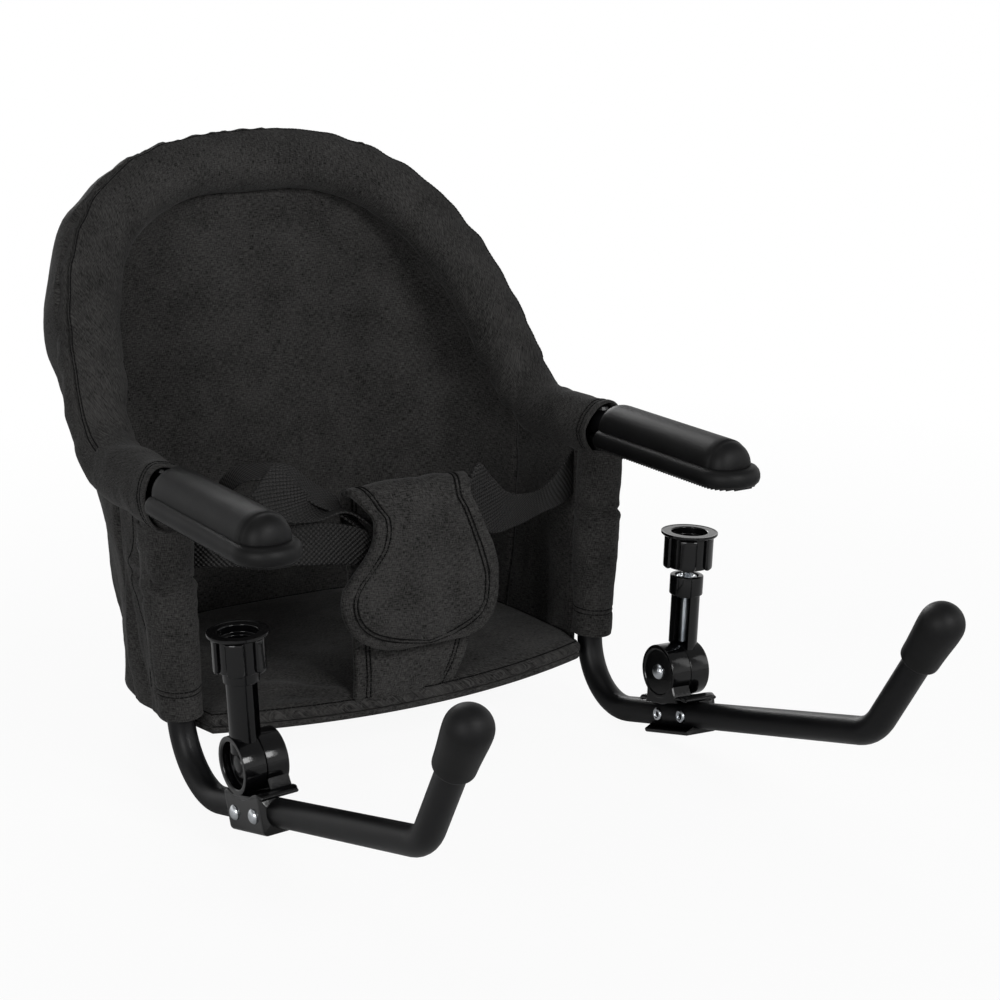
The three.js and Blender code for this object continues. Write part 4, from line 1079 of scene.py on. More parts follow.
def arm_body(side):
    """The hub, and the column with its collar, bore, nut pocket and slot."""
    hub_profile = [(0, 0.3), (BARREL_R, 0.3), (BARREL_R, BARREL_HALF),
                   (POCKET_R + 0.9, BARREL_HALF), (POCKET_R, BARREL_HALF - 0.9),
                   (POCKET_R - 0.2, BARREL_HALF - POCKET_DEPTH), (0, BARREL_HALF - POCKET_DEPTH)]
    hub = shell(arm_point(side, along_x(turned_rows(hub_profile, 64, 0.5))))
    offset = [COLUMN_OFFSET, 0, 0]
    column, collar = (shell(arm_point(side, rows + offset)) for rows in (
        upright_rod(COLUMN_R, 8, COLUMN_TOP - 2),
        upright_rod(COLLAR_R, COLUMN_TOP - COLLAR_HEIGHT, COLUMN_TOP, ease=0.8)))
    boolean(column, collar, "UNION")
    cuts = [upright_rod(SCREW_R + 0.9, COLUMN_TOP - SCREW_LENGTH + 2, COLUMN_TOP + 2, 32, 0)
            + offset,
            upright_rod(NUT_R + 1.2, COLUMN_TOP - 1.6, COLUMN_TOP + 2, 40, 0) + offset]
    low, high, deep, half = 17.0, COLUMN_TOP - COLLAR_HEIGHT - 1, 17.0, 5.0
    turn = np.array(Matrix.Rotation(math.radians(-45), 3, "Z"))
    cuts.append(block(-half, half, -deep, 0, low, high) @ turn.T + offset)
    cuts.append(block(-22, 0.3, -22, 22, -22, BARREL_R + 0.8))
    for rows in cuts:
        boolean(column, shell(arm_point(side, rows), smooth=False))
    return [hub, column]


for name, side in SIDES.items():
    arm = joined(f"{name}_clamp_arm_moulding", arm_body(side), GLOSS_PLASTIC,
                 f"{name}_clamp_arm", [f"{name}_clamp_arm"])
    sharpen(arm, 32)
    print(arm.name, "faces", len(arm.data.polygons))

# %% [markdown]
# The screw's thread is a rule: the radius rises and falls with height, shifted by one pitch a
# turn. A Geometry Nodes group applies it to a plain cylinder. The real M8 pitch of 1.25 mm is
# kept, since it shows in the slot.

# %% Thread tree
M8_PITCH = 1.25


def thread_tree(look):
    """Moves each point of a cylinder out from the axis to the thread's radius there."""
    tree, given = node_group("screw_thread", {
        "Pitch": M8_PITCH * MM, "Core": 3.4 * MM, "Crest": 4 * MM})
    place = node(tree, "GeometryNodeInputPosition").outputs[0]
    x, y, z = node(tree, "ShaderNodeSeparateXYZ", {"Vector": place}).outputs
    angle = node(tree, "ShaderNodeMath", {0: y, 1: x}, operation="ARCTAN2").outputs[0]
    turns = node(tree, "ShaderNodeMath", {0: angle, 1: 2 * math.pi}, operation="DIVIDE").outputs[0]
    climb = node(tree, "ShaderNodeMath", {0: z, 1: given["Pitch"]}, operation="DIVIDE").outputs[0]
    phase = node(tree, "ShaderNodeMath", {0: climb, 1: turns}, operation="SUBTRACT").outputs[0]
    fold = node(tree, "ShaderNodeMath", {0: phase, 1: 0.5}, operation="PINGPONG").outputs[0]
    ridge = node(tree, "ShaderNodeMath", {0: fold, 1: 2.0}, operation="MULTIPLY").outputs[0]
    reach = node(tree, "ShaderNodeMapRange", {
        "Value": ridge, "To Min": given["Core"], "To Max": given["Crest"]})
    flat = node(tree, "ShaderNodeCombineXYZ", {"X": x, "Y": y, "Z": 0.0}).outputs[0]
    way = node(tree, "ShaderNodeVectorMath", {0: flat}, operation="NORMALIZE").outputs[0]
    grown_way = node(tree, "ShaderNodeVectorMath", {0: way, "Scale": reach.outputs["Result"]},
                     operation="SCALE").outputs[0]
    shift = node(tree, "ShaderNodeVectorMath", {0: grown_way, 1: flat}, operation="SUBTRACT")
    moved = node(tree, "GeometryNodeSetPosition", {
        "Geometry": given["Geometry"], "Offset": shift.outputs[0]})
    return group_result(tree, moved.outputs["Geometry"], look)


def open_cylinder(radius, length, step, count=24):
    """A bare open cylinder at the origin, for a node group to work on."""
    turn = full_turn(count)
    heights = np.arange(0, length, step)
    points = [(radius * math.cos(t), radius * math.sin(t), z) for z in heights for t in turn]
    mesh = bpy.data.meshes.new("blank")
    mesh.from_pydata(np.array(points) * MM, [], lattice_faces(len(heights), count, True)[0])
    return link("blank", mesh)


NUT = [(0, -NUT_HEIGHT), (NUT_R, -NUT_HEIGHT), (NUT_R, -1.2), (NUT_R - 0.8, -0.6),
       (SCREW_R + 1.4, -0.6), (SCREW_R + 1.0, -1.2), (0, -1.2)]
threads = thread_tree(ZINC)
for name, side in SIDES.items():
    blank = grown(open_cylinder(SCREW_R, SCREW_LENGTH, M8_PITCH / 6), threads,
                  {"Pitch": M8_PITCH * MM, "Core": 3.0 * MM, "Crest": SCREW_R * MM}, "thread")
    local = np.array([v.co for v in blank.data.vertices]) / MM
    low = COLUMN_TOP + 0.4 - SCREW_LENGTH + KNOB_WEB / 2 + KNOB_OUT[name]
    placed = in_part(arm_point(side, local + [COLUMN_OFFSET, 0, low]))
    blank.data.vertices.foreach_set("co", placed.ravel())
    with opened(blank.data) as work:
        bmesh.ops.holes_fill(work, edges=work.edges)
        bmesh.ops.recalc_face_normals(work, faces=work.faces)
    blank.name = blank.data.name = f"{name}_m8_screw"
    settle(blank, f"{name}_clamp_screw", [f"{name}_clamp_screw"])
    nut = turned_rows(NUT, 36, 0.3) + [COLUMN_OFFSET, 0, COLUMN_TOP]
    nut = lattice(f"{name}_nut_ring", arm_point(side, nut), ZINC)
    settle(nut, f"{name}_clamp_arm", [f"{name}_clamp_nut"])
    print(blank.name, "faces", len(blank.data.polygons))

# %% [markdown]
# The knob is turned: a thin pressure ring above, a cup with a step inside, and a skirt that goes
# over the collar. Five curved grip panels with rounded corners stand out of the skirt.

# %% Knob
def knob_profile():
    """Up the cup's inside, over the ring that meets the table, and down to the skirt."""
    top, bottom = CUP_DEPTH + KNOB_WEB, CUP_DEPTH + KNOB_WEB - KNOB_HEIGHT
    return [(0, KNOB_WEB), (CUP_R - 2.6, KNOB_WEB), (CUP_R - 2.6, top - 6.4), (CUP_R, top - 5.4),
            (CUP_R, top - 0.5), (CUP_R + 0.6, top),
            (KNOB_FLANGE_R - 1.6, top - 0.2), (KNOB_FLANGE_R, top + 0.2),
            (KNOB_FLANGE_R, top - 1.5), (KNOB_FLANGE_R - 1.2, top - KNOB_FLANGE),
            (KNOB_R + 0.8, top - KNOB_FLANGE - 0.2), (KNOB_R, top - KNOB_FLANGE - 1.2),
            (KNOB_R, bottom + 0.6), (KNOB_R - 0.6, bottom),
            (COLLAR_R + 0.8, bottom), (COLLAR_R + 0.5, bottom + 0.8), (COLLAR_R + 0.5, 0), (0, 0)]


def grip_middle(start, span=44.0):
    """The middle of one grip panel, with rounded lower corners."""
    top = CUP_DEPTH + KNOB_WEB - KNOB_FLANGE - 0.6
    low = CUP_DEPTH + KNOB_WEB - KNOB_HEIGHT - 0.4
    rows = []
    for z in np.linspace(top, low, 15):
        share = (z - low) / (top - low)
        corner = math.sqrt(max(0.0, 1 - max(0.0,
                                            (0.22 - share) / 0.22) ** 2.4)) if share < 0.22 else 1
        width = span * (0.55 + 0.45 * corner)
        rows.append([((GRIP_OUT - 1.7) * math.cos(a), (GRIP_OUT - 1.7) * math.sin(a), z)
                     for a in np.radians(np.linspace(start - width / 2, start + width / 2, 13))])
    return np.array(rows)


for name, side in SIDES.items():
    offset = np.array([COLUMN_OFFSET, 0, COLUMN_TOP + 0.4 + KNOB_OUT[name]])
    shells = [shell(arm_point(side, turned_rows(knob_profile(), 72, 0.4) + offset))]
    for k in range(GRIPS):
        middle = grip_middle(18 + 360 / GRIPS * k)
        shells.append(sheet_piece("grip", arm_point(side, middle + offset), 3.4, GLOSS_PLASTIC))
    knob = joined(f"{name}_hand_knob", shells, GLOSS_PLASTIC, f"{name}_clamp_screw",
                  [f"{name}_clamp_knob"])
    sharpen(knob, 40)
    print(knob.name, "faces", len(knob.data.polygons))

# %% [markdown]
# ## Seams
# Seam lines are taken from the lattices themselves: a path in rows and columns becomes points on
# the cloth. Stitches are grown along them by one Geometry Nodes group: a short thread every
# 3 mm, turned along the line and half sunk into the cloth. The black stitches lie so close that
# they draw a near-unbroken dark line: real thread, and partly painted shade of the seam's groove.

# %% Stitch tree
def on_lattice(points, rows, columns):
    """Points at fractional rows and columns of a lattice."""
    rows, columns = np.broadcast_arrays(np.asarray(rows, float), np.asarray(columns, float))
    i = np.clip(np.floor(rows).astype(int), 0, points.shape[0] - 2)
    j = np.clip(np.floor(columns).astype(int), 0, points.shape[1] - 2)
    u, v = (rows - i)[..., None], (columns - j)[..., None]
    near = points[i, j] * (1 - v) + points[i, j + 1] * v
    far = points[i + 1, j] * (1 - v) + points[i + 1, j + 1] * v
    return near * (1 - u) + far * u


def stitch_tree(look):
    """A short thread every pitch along each line, turned along it."""
    tree, given = node_group("thread_stitches", {
        "Pitch": 3 * MM, "Stitch length": 2.5 * MM, "Thread radius": 0.5 * MM})
    curve = node(tree, "GeometryNodeMeshToCurve", {"Mesh": given["Geometry"]})
    spaced = node(tree, "GeometryNodeResampleCurve", {
        "Curve": curve.outputs["Curve"], "Length": given["Pitch"]}, mode="LENGTH")
    along = node(tree, "GeometryNodeInputTangent").outputs["Tangent"]
    turn = node(tree, "FunctionNodeAlignRotationToVector", {"Vector": along}, axis="Z")
    thread = node(tree, "GeometryNodeMeshCylinder", {
        "Vertices": 6, "Radius": given["Thread radius"], "Depth": given["Stitch length"]},
        fill_type="TRIANGLE_FAN")
    placed = node(tree, "GeometryNodeInstanceOnPoints", {
        "Points": spaced.outputs["Curve"], "Instance": thread.outputs["Mesh"],
        "Rotation": turn.outputs["Rotation"]})
    return group_result(tree, placed.outputs["Instances"], look)


stitching = stitch_tree(THREAD_AND_GROOVE_SHADE)


def stitched(piece, lines, pitch=3 * MM):
    """Grows stitches along lines and joins them to the piece, which keeps its name."""
    for k, line in enumerate(lines):
        seam = grown(wire("seam", evenly(line, 1.5)), stitching, {"Pitch": pitch},
                     f"{piece.name}_seam_{k}")
        join(piece, seam)


print("stitch group has", len(stitching.nodes), "nodes")

# %% [markdown]
# ## Padded rim
# A stuffed roll of cloth is sewn round the hoop and runs on over both arms as loose sleeves. Its
# section is a soft oval pushed inwards from the tube. A seam runs round the outside, and the
# cloth crumples into folds where the roll turns from hoop to arm.

# %% Rim section
RIM_IN, RIM_SHIFT, RIM_THICK, RIM_BACK, RIM_POWER = 23.0, 6.0, 20.0, 3.0, 2.25
SLEEVE_WIDE, SLEEVE_TALL, SLEEVE_DROP = 19.0, 22.0, 6.0
HEM_Y = {"right": -12.0, "left": -8.0}
HEM_SLANT = 13.0
SEAM_TURN = math.radians(216)
BEND_AT, BEND_WIDE = 128.0, 46.0


def squared(x, power):
    """A power of the size of x that keeps its sign."""
    return np.sign(x) * np.abs(x) ** power


def rim_path():
    """The part of the upper tube that the rim covers, between its two hems."""
    points = upper_path(-20.0, 3.0)
    keep = np.ones(len(points), bool)
    for name, side in SIDES.items():
        keep &= ~((points[:, 0] * side > 0) & (points[:, 1] < HEM_Y[name]))
    return points[keep]


def rim_rings(points, count=144):
    """Rings of the rim with its folds."""
    n, b = carried(points)
    rise = np.clip((points[:, 2] - CORNER_DROP) / 60, 0, 1)[:, None]
    a = SLEEVE_WIDE + (RIM_IN - SLEEVE_WIDE) * rise
    c = SLEEVE_TALL + (RIM_THICK - SLEEVE_TALL) * rise
    inward, rear = RIM_SHIFT * rise, SLEEVE_DROP + (RIM_BACK - SLEEVE_DROP) * rise
    turn = full_turn(count)[None, :]
    cos, sin = squared(np.cos(turn), 2 / RIM_POWER), squared(np.sin(turn), 2 / RIM_POWER)
    n, b = n[:, None, :], b[:, None, :]
    way = n * (a * cos)[..., None] + b * (c * sin)[..., None]
    plain = points[:, None, :] + way + n * inward[..., None] + b * rear[..., None]
    reach = run_along(points)[:, None]
    total = reach[-1, 0]
    push = bumps(plain, (1.2, 60, 0, EVEN), (1.0, 21, 300, EVEN), (0.45, 8, 0, EVEN))
    for from_end, strength in ((reach, 1.0), (total - reach, 1.3)):
        near_bend = groove(from_end - BEND_AT, BEND_WIDE)
        wave = np.sin(from_end / 3.3 + 1.9 * np.sin(turn * 2) + 2.4 * cloud(plain, 45))
        wide = np.sin(from_end / 12.5 + 1.1 * np.cos(turn) + 0.7 + 0.9 * cloud(plain + 9, 40))
        folds = 0.8 * wave + 5.0 * (np.abs(wide) ** 0.55 - 0.75)
        push = push + strength * near_bend * folds * (0.6 + 0.4 * np.sin(turn + 0.6))
        up_side = smoothstep(from_end, 150, 230) * (1 - smoothstep(from_end, 330, 420))
        cross = np.sin(from_end / 5.2 + 3.0 * cloud(plain + 50, 50))
        push = push + up_side * 1.3 * cross * np.clip(-np.cos(turn), 0, 1)
        near_hem = groove(from_end, 30)
        upper = np.clip(np.sin(turn), 0, 1)
        plain = plain - (near_hem * upper)[..., None] * [0, HEM_SLANT, 0]
        push = push + near_hem * 1.4 * np.sin(turn * 3 + 0.8)
        push = push - 0.7 * groove(from_end - 6, 1.1) - 0.6 * groove(from_end - 9.5, 1.0)
    off_seam = np.mod(turn - SEAM_TURN + math.pi, 2 * math.pi) - math.pi
    on_hoop = smoothstep(rise, 0.0, 0.6)
    push = push + on_hoop * (0.9 * groove(off_seam - 0.13, 0.08) - 2.4 * groove(off_seam, 0.06))
    pucker = np.sin(reach / 2.1 + 2 * cloud(plain + 30, 20)) * groove(off_seam + 0.16, 0.13)
    push = push + on_hoop * 0.9 * pucker
    return plain + unit(way) * push[..., None]


rim_line = rim_path()
outer = rim_rings(rim_line)


HEM_TURN = ((0.0, 0.0), (-0.9, 0.5), (-1.1, 1.2), (-0.8, 1.9), (4, 2.3), (14, 3.2), (28, 7.5),
            (36, 30))


def hem_inside(outer_ring, centre, way):
    """Rings that turn in over the hem and run back along the inside of the sleeve."""
    spokes = outer_ring - centre
    size = np.linalg.norm(spokes, axis=-1, keepdims=True)
    return [centre + way * depth + unit(spokes) * np.maximum(size - inset, TUBE_R + 0.5)
            for depth, inset in HEM_TURN]


start = hem_inside(outer[0], rim_line[0], unit(rim_line[1] - rim_line[0]))
end = hem_inside(outer[-1], rim_line[-1], unit(rim_line[-2] - rim_line[-1]))
rim = lattice("padded_rim", np.concatenate([start[::-1], outer[1:-1], end]), CLOTH)
round_hem = np.linspace(0, outer.shape[1] - 1.001, 150)
hem_lines = [on_lattice(outer, row, round_hem)
             for row in (2, 3.2, len(outer) - 3, len(outer) - 4.2)]
seam_column = SEAM_TURN / (2 * math.pi) * outer.shape[1]
hem_lines += [on_lattice(outer, np.arange(30, len(outer) - 30), seam_column + k)
              for k in (0.2, 3.8)]
stitched(rim, hem_lines)
settle(rim, "chair", ["back_rim"])
print("rim", outer.shape, "rings, faces", len(rim.data.polygons))

# %% [markdown]
# ## Wrap of the seat
# Back and side panels are one soft wall round the child: a superellipse in plan that opens
# upwards into the hoop. The back is padded; the sides are thinner. Both are cut from the same
# surface, so that they meet at the side seams.

# %% Wall surface
WRAP_FOOT_HALF, WRAP_POWER, WRAP_THICK, BACK_THICK = 159.5, 3.4, 6.0, 9.0
WRAP_LOW, WRAP_FRONT, SEAT_LOW, BACK_LOW_Y, BACK_SLOPE = 38.0, 17.0, 44.0, 211.0, 0.065
SIDE_REAR, SIDE_EXTRA, BACK_TOP, SIDE_TOP = 95.0, 4.0, 206.0, 208.0


def back_rear(z):
    """Y of the back's middle at a height."""
    return BACK_LOW_Y + BACK_SLOPE * (z - SEAT_LOW)


def wrap_half(z):
    """Half width of the wall at a height; it widens as the uprights do."""
    return WRAP_FOOT_HALF + z * math.tan(SPLAY)


def plan_curve(turn, half, front, rear):
    """X and y of the wall's plan, a superellipse, at angles from its rear middle."""
    x = half * squared(np.sin(turn), 2 / WRAP_POWER)
    return x, front + (rear - front) * np.abs(np.cos(turn)) ** (2 / WRAP_POWER)


def plan_row(share, half, front, rear, z, count):
    """Evenly spaced points across the back at one height."""
    x, y = plan_curve(np.linspace(-share, share, 181) * math.pi / 2, half, front, rear)
    return spread(np.stack([x, y, np.full_like(x, z)], axis=-1), count)


def width_share(front, rear, y):
    """The wall's half width at y, as a share of its widest."""
    return (1 - max((y - front) / (rear - front), 0) ** WRAP_POWER) ** (1 / WRAP_POWER)


def share_at(front, rear, y):
    """The plan's angle at y, as a share of a right angle."""
    return 2 / math.pi * math.acos(min(max((y - front) / (rear - front), 0) ** (WRAP_POWER / 2),
                                       1))


def back_middle(count=121):
    """The back's middle surface: the wall below the arms, then up inside the hoop."""
    rows = []
    for z in np.linspace(WRAP_LOW, BACK_TOP, 44):
        rise = float(smoothstep(z, 90, CORNER_DROP + 10))
        front = WRAP_FRONT + (HOOP_FOOT_Y - WRAP_FRONT) * rise
        beside = wrap_half(z) * width_share(WRAP_FRONT, back_rear(z), SIDE_REAR)
        half = beside / width_share(front, back_rear(z), SIDE_REAR)
        rows.append(plan_row(share_at(front, back_rear(z), SIDE_REAR), half, front, back_rear(z),
                             z, count))
    for height in HOOP_HEIGHT * np.linspace(0.03, 0.95, 44):
        half, front, z = hoop_point(float(hoop_half(height)), height)
        rows.append(plan_row(1, half, front, back_rear(z), z, count))
    rows = np.array(rows)
    kernel = np.array([1, 2, 3, 2, 1]) / 9
    softened = np.stack([np.convolve(np.pad(rows[:, j, k], 2, mode="edge"), kernel, "valid")
                         for j in range(count)
                         for k in range(3)], axis=-1).reshape(len(rows), count, 3)
    softened[0], softened[-1] = rows[0], rows[-1]
    return softened


def crease(points, x, z_from, z_to, wide, deep, lean):
    """A vertical crease in the back at x, between two heights."""
    across = points[..., 0] - x - lean * (points[..., 2] - z_from)
    start, end = (smoothstep(points[..., 2], z - 12, z + 12) for z in (z_from, z_to))
    return deep * groove(across, wide) * start * (1 - end)


def back_face(points):
    """Soft fullness and vertical folds of the back's front face, full where it meets the rim."""
    x, z = points[..., 0], points[..., 2]
    push = bumps(points, (3.4, 34, 0, [1, 1, 0.3]), (1.4, 14, 70, [1, 1, 0.5]), (0.3, 6, 0, EVEN))
    for line in ((-26, 330, 376, 4, 2.2, 0.1), (6, 322, 376, 4, 2.4, -0.1)):
        push = push - crease(points, *line)
    low = 1 - smoothstep(z, 90, 210)
    wide, fine = x / 11 + 2.4 * cloud(points, 60), x / 4.6 + 2 * cloud(points + 5, 40)
    push = push + low * (3.6 * np.sin(wide) + 2.0 * np.sin(fine))
    height = np.clip(z - CORNER_DROP, 0, None) / math.cos(HOOP_LEAN)
    out = ((np.abs(x) / ARM_HALF) ** HOOP_POWER
           + (height / HOOP_HEIGHT) ** HOOP_POWER) ** (1 / HOOP_POWER)
    return push + 13 * smoothstep(out, 0.5, 0.9) * smoothstep(height, 20, 110)


middle = back_middle()
back = sheet_piece("back_panel_padded", middle[:, ::-1], BACK_THICK, CLOTH, front=back_face)
settle(back, "chair", ["back_panel"])
print("back middle", middle.shape, "faces", len(back.data.polygons))

# %% Side panels
def side_middle(side, count=49):
    """A side panel's middle surface, from its front edge to the seam with the back."""
    rows = []
    for z in np.linspace(WRAP_LOW, SIDE_TOP, 60):
        rear = back_rear(z)
        reach = share_at(WRAP_FRONT, rear, SIDE_REAR)
        turn = np.linspace(1, reach, 161) * math.pi / 2
        x, y = plan_curve(turn, wrap_half(z), WRAP_FRONT, rear)
        row = np.stack([side * x, y, np.full_like(x, z)], axis=-1)
        rows.append(spread(np.concatenate([row[:1] - [0, SIDE_EXTRA, 0], row]), count))
    return np.array(rows)


def side_face(points):
    """Vertical gathers that are deepest low down, where the wall is sewn to the seat."""
    y, z = points[..., 1], points[..., 2]
    push = bumps(points, (4.0, 30, 0, [1, 1, 0.45]), (1.6, 12, 40, [1, 1, 0.6]),
                 (0.25, 5, 0, EVEN))
    low = 1 - smoothstep(z, 60, 200)
    return push + low * 3.6 * (np.abs(np.sin(y / 13 + 1.4 * cloud(points, 50))) ** 0.6 - 0.7)


for name, side in SIDES.items():
    middle = side_middle(side)
    panel = sheet_piece(f"{name}_side_panel_cloth", middle[:, ::side], WRAP_THICK, CLOTH,
                        front=side_face, back_push=lambda p: -0.8 * side_face(p))
    settle(panel, "chair", [f"{name}_side_panel"])
    print(panel.name, "faces", len(panel.data.polygons))

# %% [markdown]
# ## Seat
# The seat is a thin padded cushion on a stiff board. A base cloth closes it below and turns up
# round the board to a piped seam at the front. The front edge bows forward between two corners.

# %% Seat outline and cushion
SEAT_HALF, SEAT_REAR_HALF, SEAT_FRONT, SEAT_BOW, SEAT_REAR = 153.0, 158.5, -13.0, 28.0, 208.0
BASE_THICK, BOARD_THICK, SEAT_CROWN = 1.5, 3.0, 6.0
PAD_LOW = SEAT_LOW + BASE_THICK + 0.3 + BOARD_THICK + 0.3
SEAT_MIDDLE = np.array([0, 90.0, 0])


def seat_ring(inset, z, count=320):
    """A ring inside the seat's outline at one height."""
    share = np.linspace(-1, 1, 61)
    front = np.stack([(SEAT_HALF - inset) * share, SEAT_FRONT + inset - SEAT_BOW
                      * (1 - share ** 2)], axis=-1)
    turn = np.linspace(1, -1, 241) * math.pi / 2
    rear = np.stack(plan_curve(turn, SEAT_REAR_HALF - inset, WRAP_FRONT, SEAT_REAR - inset),
                    axis=-1)
    loop = np.concatenate([front, rear, front[:1]])
    ring = spread(loop, count, endpoint=False)
    return np.concatenate([ring, np.full((count, 1), z)], axis=1)


def cushion_rings():
    """Rings up round the cushion's edge and its piped seam, then inwards over the crown."""
    levels = [(14, 0), (2.5, 0), (0.8, 0.6), (0, 3), (0.1, 5.5), (1.0, 7.6), (2.4, 8.6),
              (3.4, 8.3), (4.4, 8.2), (5.6, 9.2), (7.5, 10.1)]
    ring_list = [seat_ring(inset, PAD_LOW + z) for inset, z in levels]
    last = ring_list[-1]
    for share in np.linspace(0.97, 0.02, 44):
        ring = SEAT_MIDDLE + (last - SEAT_MIDDLE) * [share, share, 1]
        ring[:, 2] += SEAT_CROWN * (1 - share ** 3)
        ring_list.append(ring)
    return np.array(ring_list)


cushion = cushion_rings()
on_top = smoothstep(cushion[..., 2], PAD_LOW + 8.8, PAD_LOW + 11)
ripple = bumps(cushion, (1.5, 42, 0, EVEN), (0.9, 17, 90, [1, 0.45, 1]), (0.3, 7, 0, EVEN))
from_crotch = np.hypot(cushion[..., 0] + 30, cushion[..., 1] + 20)
fan = np.sin(np.arctan2(cushion[..., 1] + 40, cushion[..., 0] + 30) * 13 + 1.4
             * cloud(cushion + 60, 30))
ripple = ripple + 1.3 * fan * groove(from_crotch - 45, 40)
front_edge = 1 - smoothstep(cushion[..., 1], -6, 6)
pucker = np.sin(cushion[..., 0] / 2.6 + 2.5 * cloud(cushion, 25)) * front_edge * (1 - on_top)
cushion[..., 2] += on_top * ripple * 1.1 + 0.35 * pucker
cushion[..., 1] -= 0.7 * pucker
seat = lattice("seat_cushion", cushion, CLOTH)
layer = seat.data.uv_layers["cloth"].data
for loop in seat.data.loops:
    spot = seat.data.vertices[loop.vertex_index].co
    layer[loop.index].uv = (spot.x + spot.z, spot.y)
front_only = [c for c in range(cushion.shape[1]) if cushion[7, c, 1] < -6]
seam = cushion[6, min(front_only):max(front_only) + 1] + [0, 0, 0.1]
stitched(seat, [seam])
settle(seat, "chair", ["seat_pad"])
tray = np.array([seat_ring(inset, z) for inset, z in (
    (24, SEAT_LOW + 0.1), (3.0, SEAT_LOW), (1.2, SEAT_LOW + 0.4), (0.5, SEAT_LOW + 1.6),
    (0.3, PAD_LOW - 1.2), (0.7, PAD_LOW - 0.3),
    (1.5, PAD_LOW - 0.2), (2.2, PAD_LOW - 0.6), (2.3, SEAT_LOW + 2.2), (2.9, SEAT_LOW + 1.6),
    (24, SEAT_LOW + BASE_THICK))])
base_cloth = lattice("seat_base_cloth_sewn", tray, CLOTH)
settle(base_cloth, "chair", ["seat_base_cloth"])
print("seat faces", len(seat.data.polygons))

# %% [markdown]
# ## Upright sleeves
# A cloth sleeve is wrapped round each upright, with its free edge laid back over the side panel
# and closed by a press stud. The lower end has a stitched hem, and a tuck crosses the cloth
# halfway down.

# %% Sleeves
SLEEVE_LOW, SLEEVE_HIGH, SLEEVE_CLOTH, TUCK_Z = 60.0, 204.0, 2.0, 152.5
SLEEVE_HALF_X, SLEEVE_HALF_Y = 17.0, 19.0
HEM_LINES = (77.0, 80.5)


def swelling(z):
    """How full the sleeve is at a height."""
    return np.interp(z, [60, 68, 76, 84, 100, 135, 165, 204],
                     [0.86, 0.85, 0.86, 0.88, 0.93, 1.0, 0.95, 0.98])


def sleeve_rows(side):
    """The sleeve's outside, and the closed rows of its outside and inside."""
    levels = np.linspace(SLEEVE_LOW, SLEEVE_HIGH, 170)
    swell = swelling(levels)
    turn = full_turn(72)
    rows = []
    for z, s in zip(levels, swell):
        tuck = 1.1 * groove(z - TUCK_Z, 3) - 1.6 * groove(z - TUCK_Z - 5.5, 2.2)
        x = (SLEEVE_HALF_X * s + tuck) * np.cos(turn)
        y = (SLEEVE_HALF_Y * s + tuck) * np.sin(turn) - 2
        rows.append(np.stack([x, y, np.full_like(x, z)], axis=-1))
    rows = np.array(rows)
    out = unit(rows * [1, 1, 0])
    push = bumps(rows, (1.1, 22, side * 50, [1, 1, 0.6]), (0.6, 9, 20, EVEN), (0.2, 5, 0, EVEN))
    for line in HEM_LINES:
        push = push - 0.9 * groove(rows[..., 2] - line, 1.0)
    rows = rows + out * (push * smoothstep(rows[..., 2], 60, 64))[..., None]
    wall = rows - out * SLEEVE_CLOTH
    low, high = ([rows[k] - out[k] * inset + [0, 0, rise] for inset in (0.6, 1.4)]
                 for k, rise in ((0, -0.5), (-1, 0.5)))
    return rows, np.concatenate([rows, high, wall[::-1], low[::-1]])


FLAP_EDGE = np.array([[66, 49], [82, 48], [100, 47], [115, 57], [133, 71], [150, 73], [168, 64],
                      [197, 60]], float)
FLAP_CLOTH = 2.2


def over_upright(z, y):
    """How far out the free edge lies: round the upright first, then down onto the side panel."""
    beside = wrap_half(z) * width_share(WRAP_FRONT, back_rear(z), max(y, WRAP_FRONT))
    beside += (WRAP_THICK + FLAP_CLOTH) / 2 + 2.2
    outside = CORNER_HALF + z * math.tan(SPLAY) + SLEEVE_HALF_X * float(swelling(z))
    outside += 1.8 * float(smoothstep(y, -5, 8)) - 1.6
    down = float(smoothstep(y, 2, 46))
    return outside * (1 - down) + beside * down


def sleeve_flap_middle(side):
    """The middle of the sleeve's free edge, from the upright to its wavy end."""
    rows = []
    for z in np.linspace(64, 197, 80):
        end = np.interp(z, FLAP_EDGE[:, 0], FLAP_EDGE[:, 1])
        rows.append([(side * over_upright(z, y), y, z) for y in np.linspace(-5, end, 52)])
    return np.array(rows)


def flap_face(points):
    """Soft bulges of the free edge, with a tuck that crosses it level with the sleeve's own."""
    z = points[..., 2]
    tuck = 1.4 * groove(z - TUCK_Z, 4) - 1.6 * groove(z - TUCK_Z + 8.5, 4)
    full = bumps(points, (1.5, 24, 0, EVEN), (0.6, 10, 15, EVEN))
    return full + tuck * smoothstep(points[..., 1], 0, 12)


def press_stud(side, z=170.0, y=43.0):
    """Rows of a snap cap, a dished disc with a raised ring, square to the cloth below it."""
    step = 2.0
    centre = np.array([side * (over_upright(z, y) + FLAP_CLOTH / 2 + 0.8), y, z])
    slope_y = (over_upright(z, y + step) - over_upright(z, y - step)) / (2 * step)
    slope_z = (over_upright(z + step, y) - over_upright(z - step, y)) / (2 * step)
    profile = [(0, -1.2), (6.8, -1.2), (7.3, -0.2), (7.0, 1.2), (6.0, 2.1), (4.9, 1.9), (4.3, 1.0),
               (0, 0.6)]
    return facing(turned_rows(profile, 48, 0.5), (side, -slope_y, -slope_z)) + centre


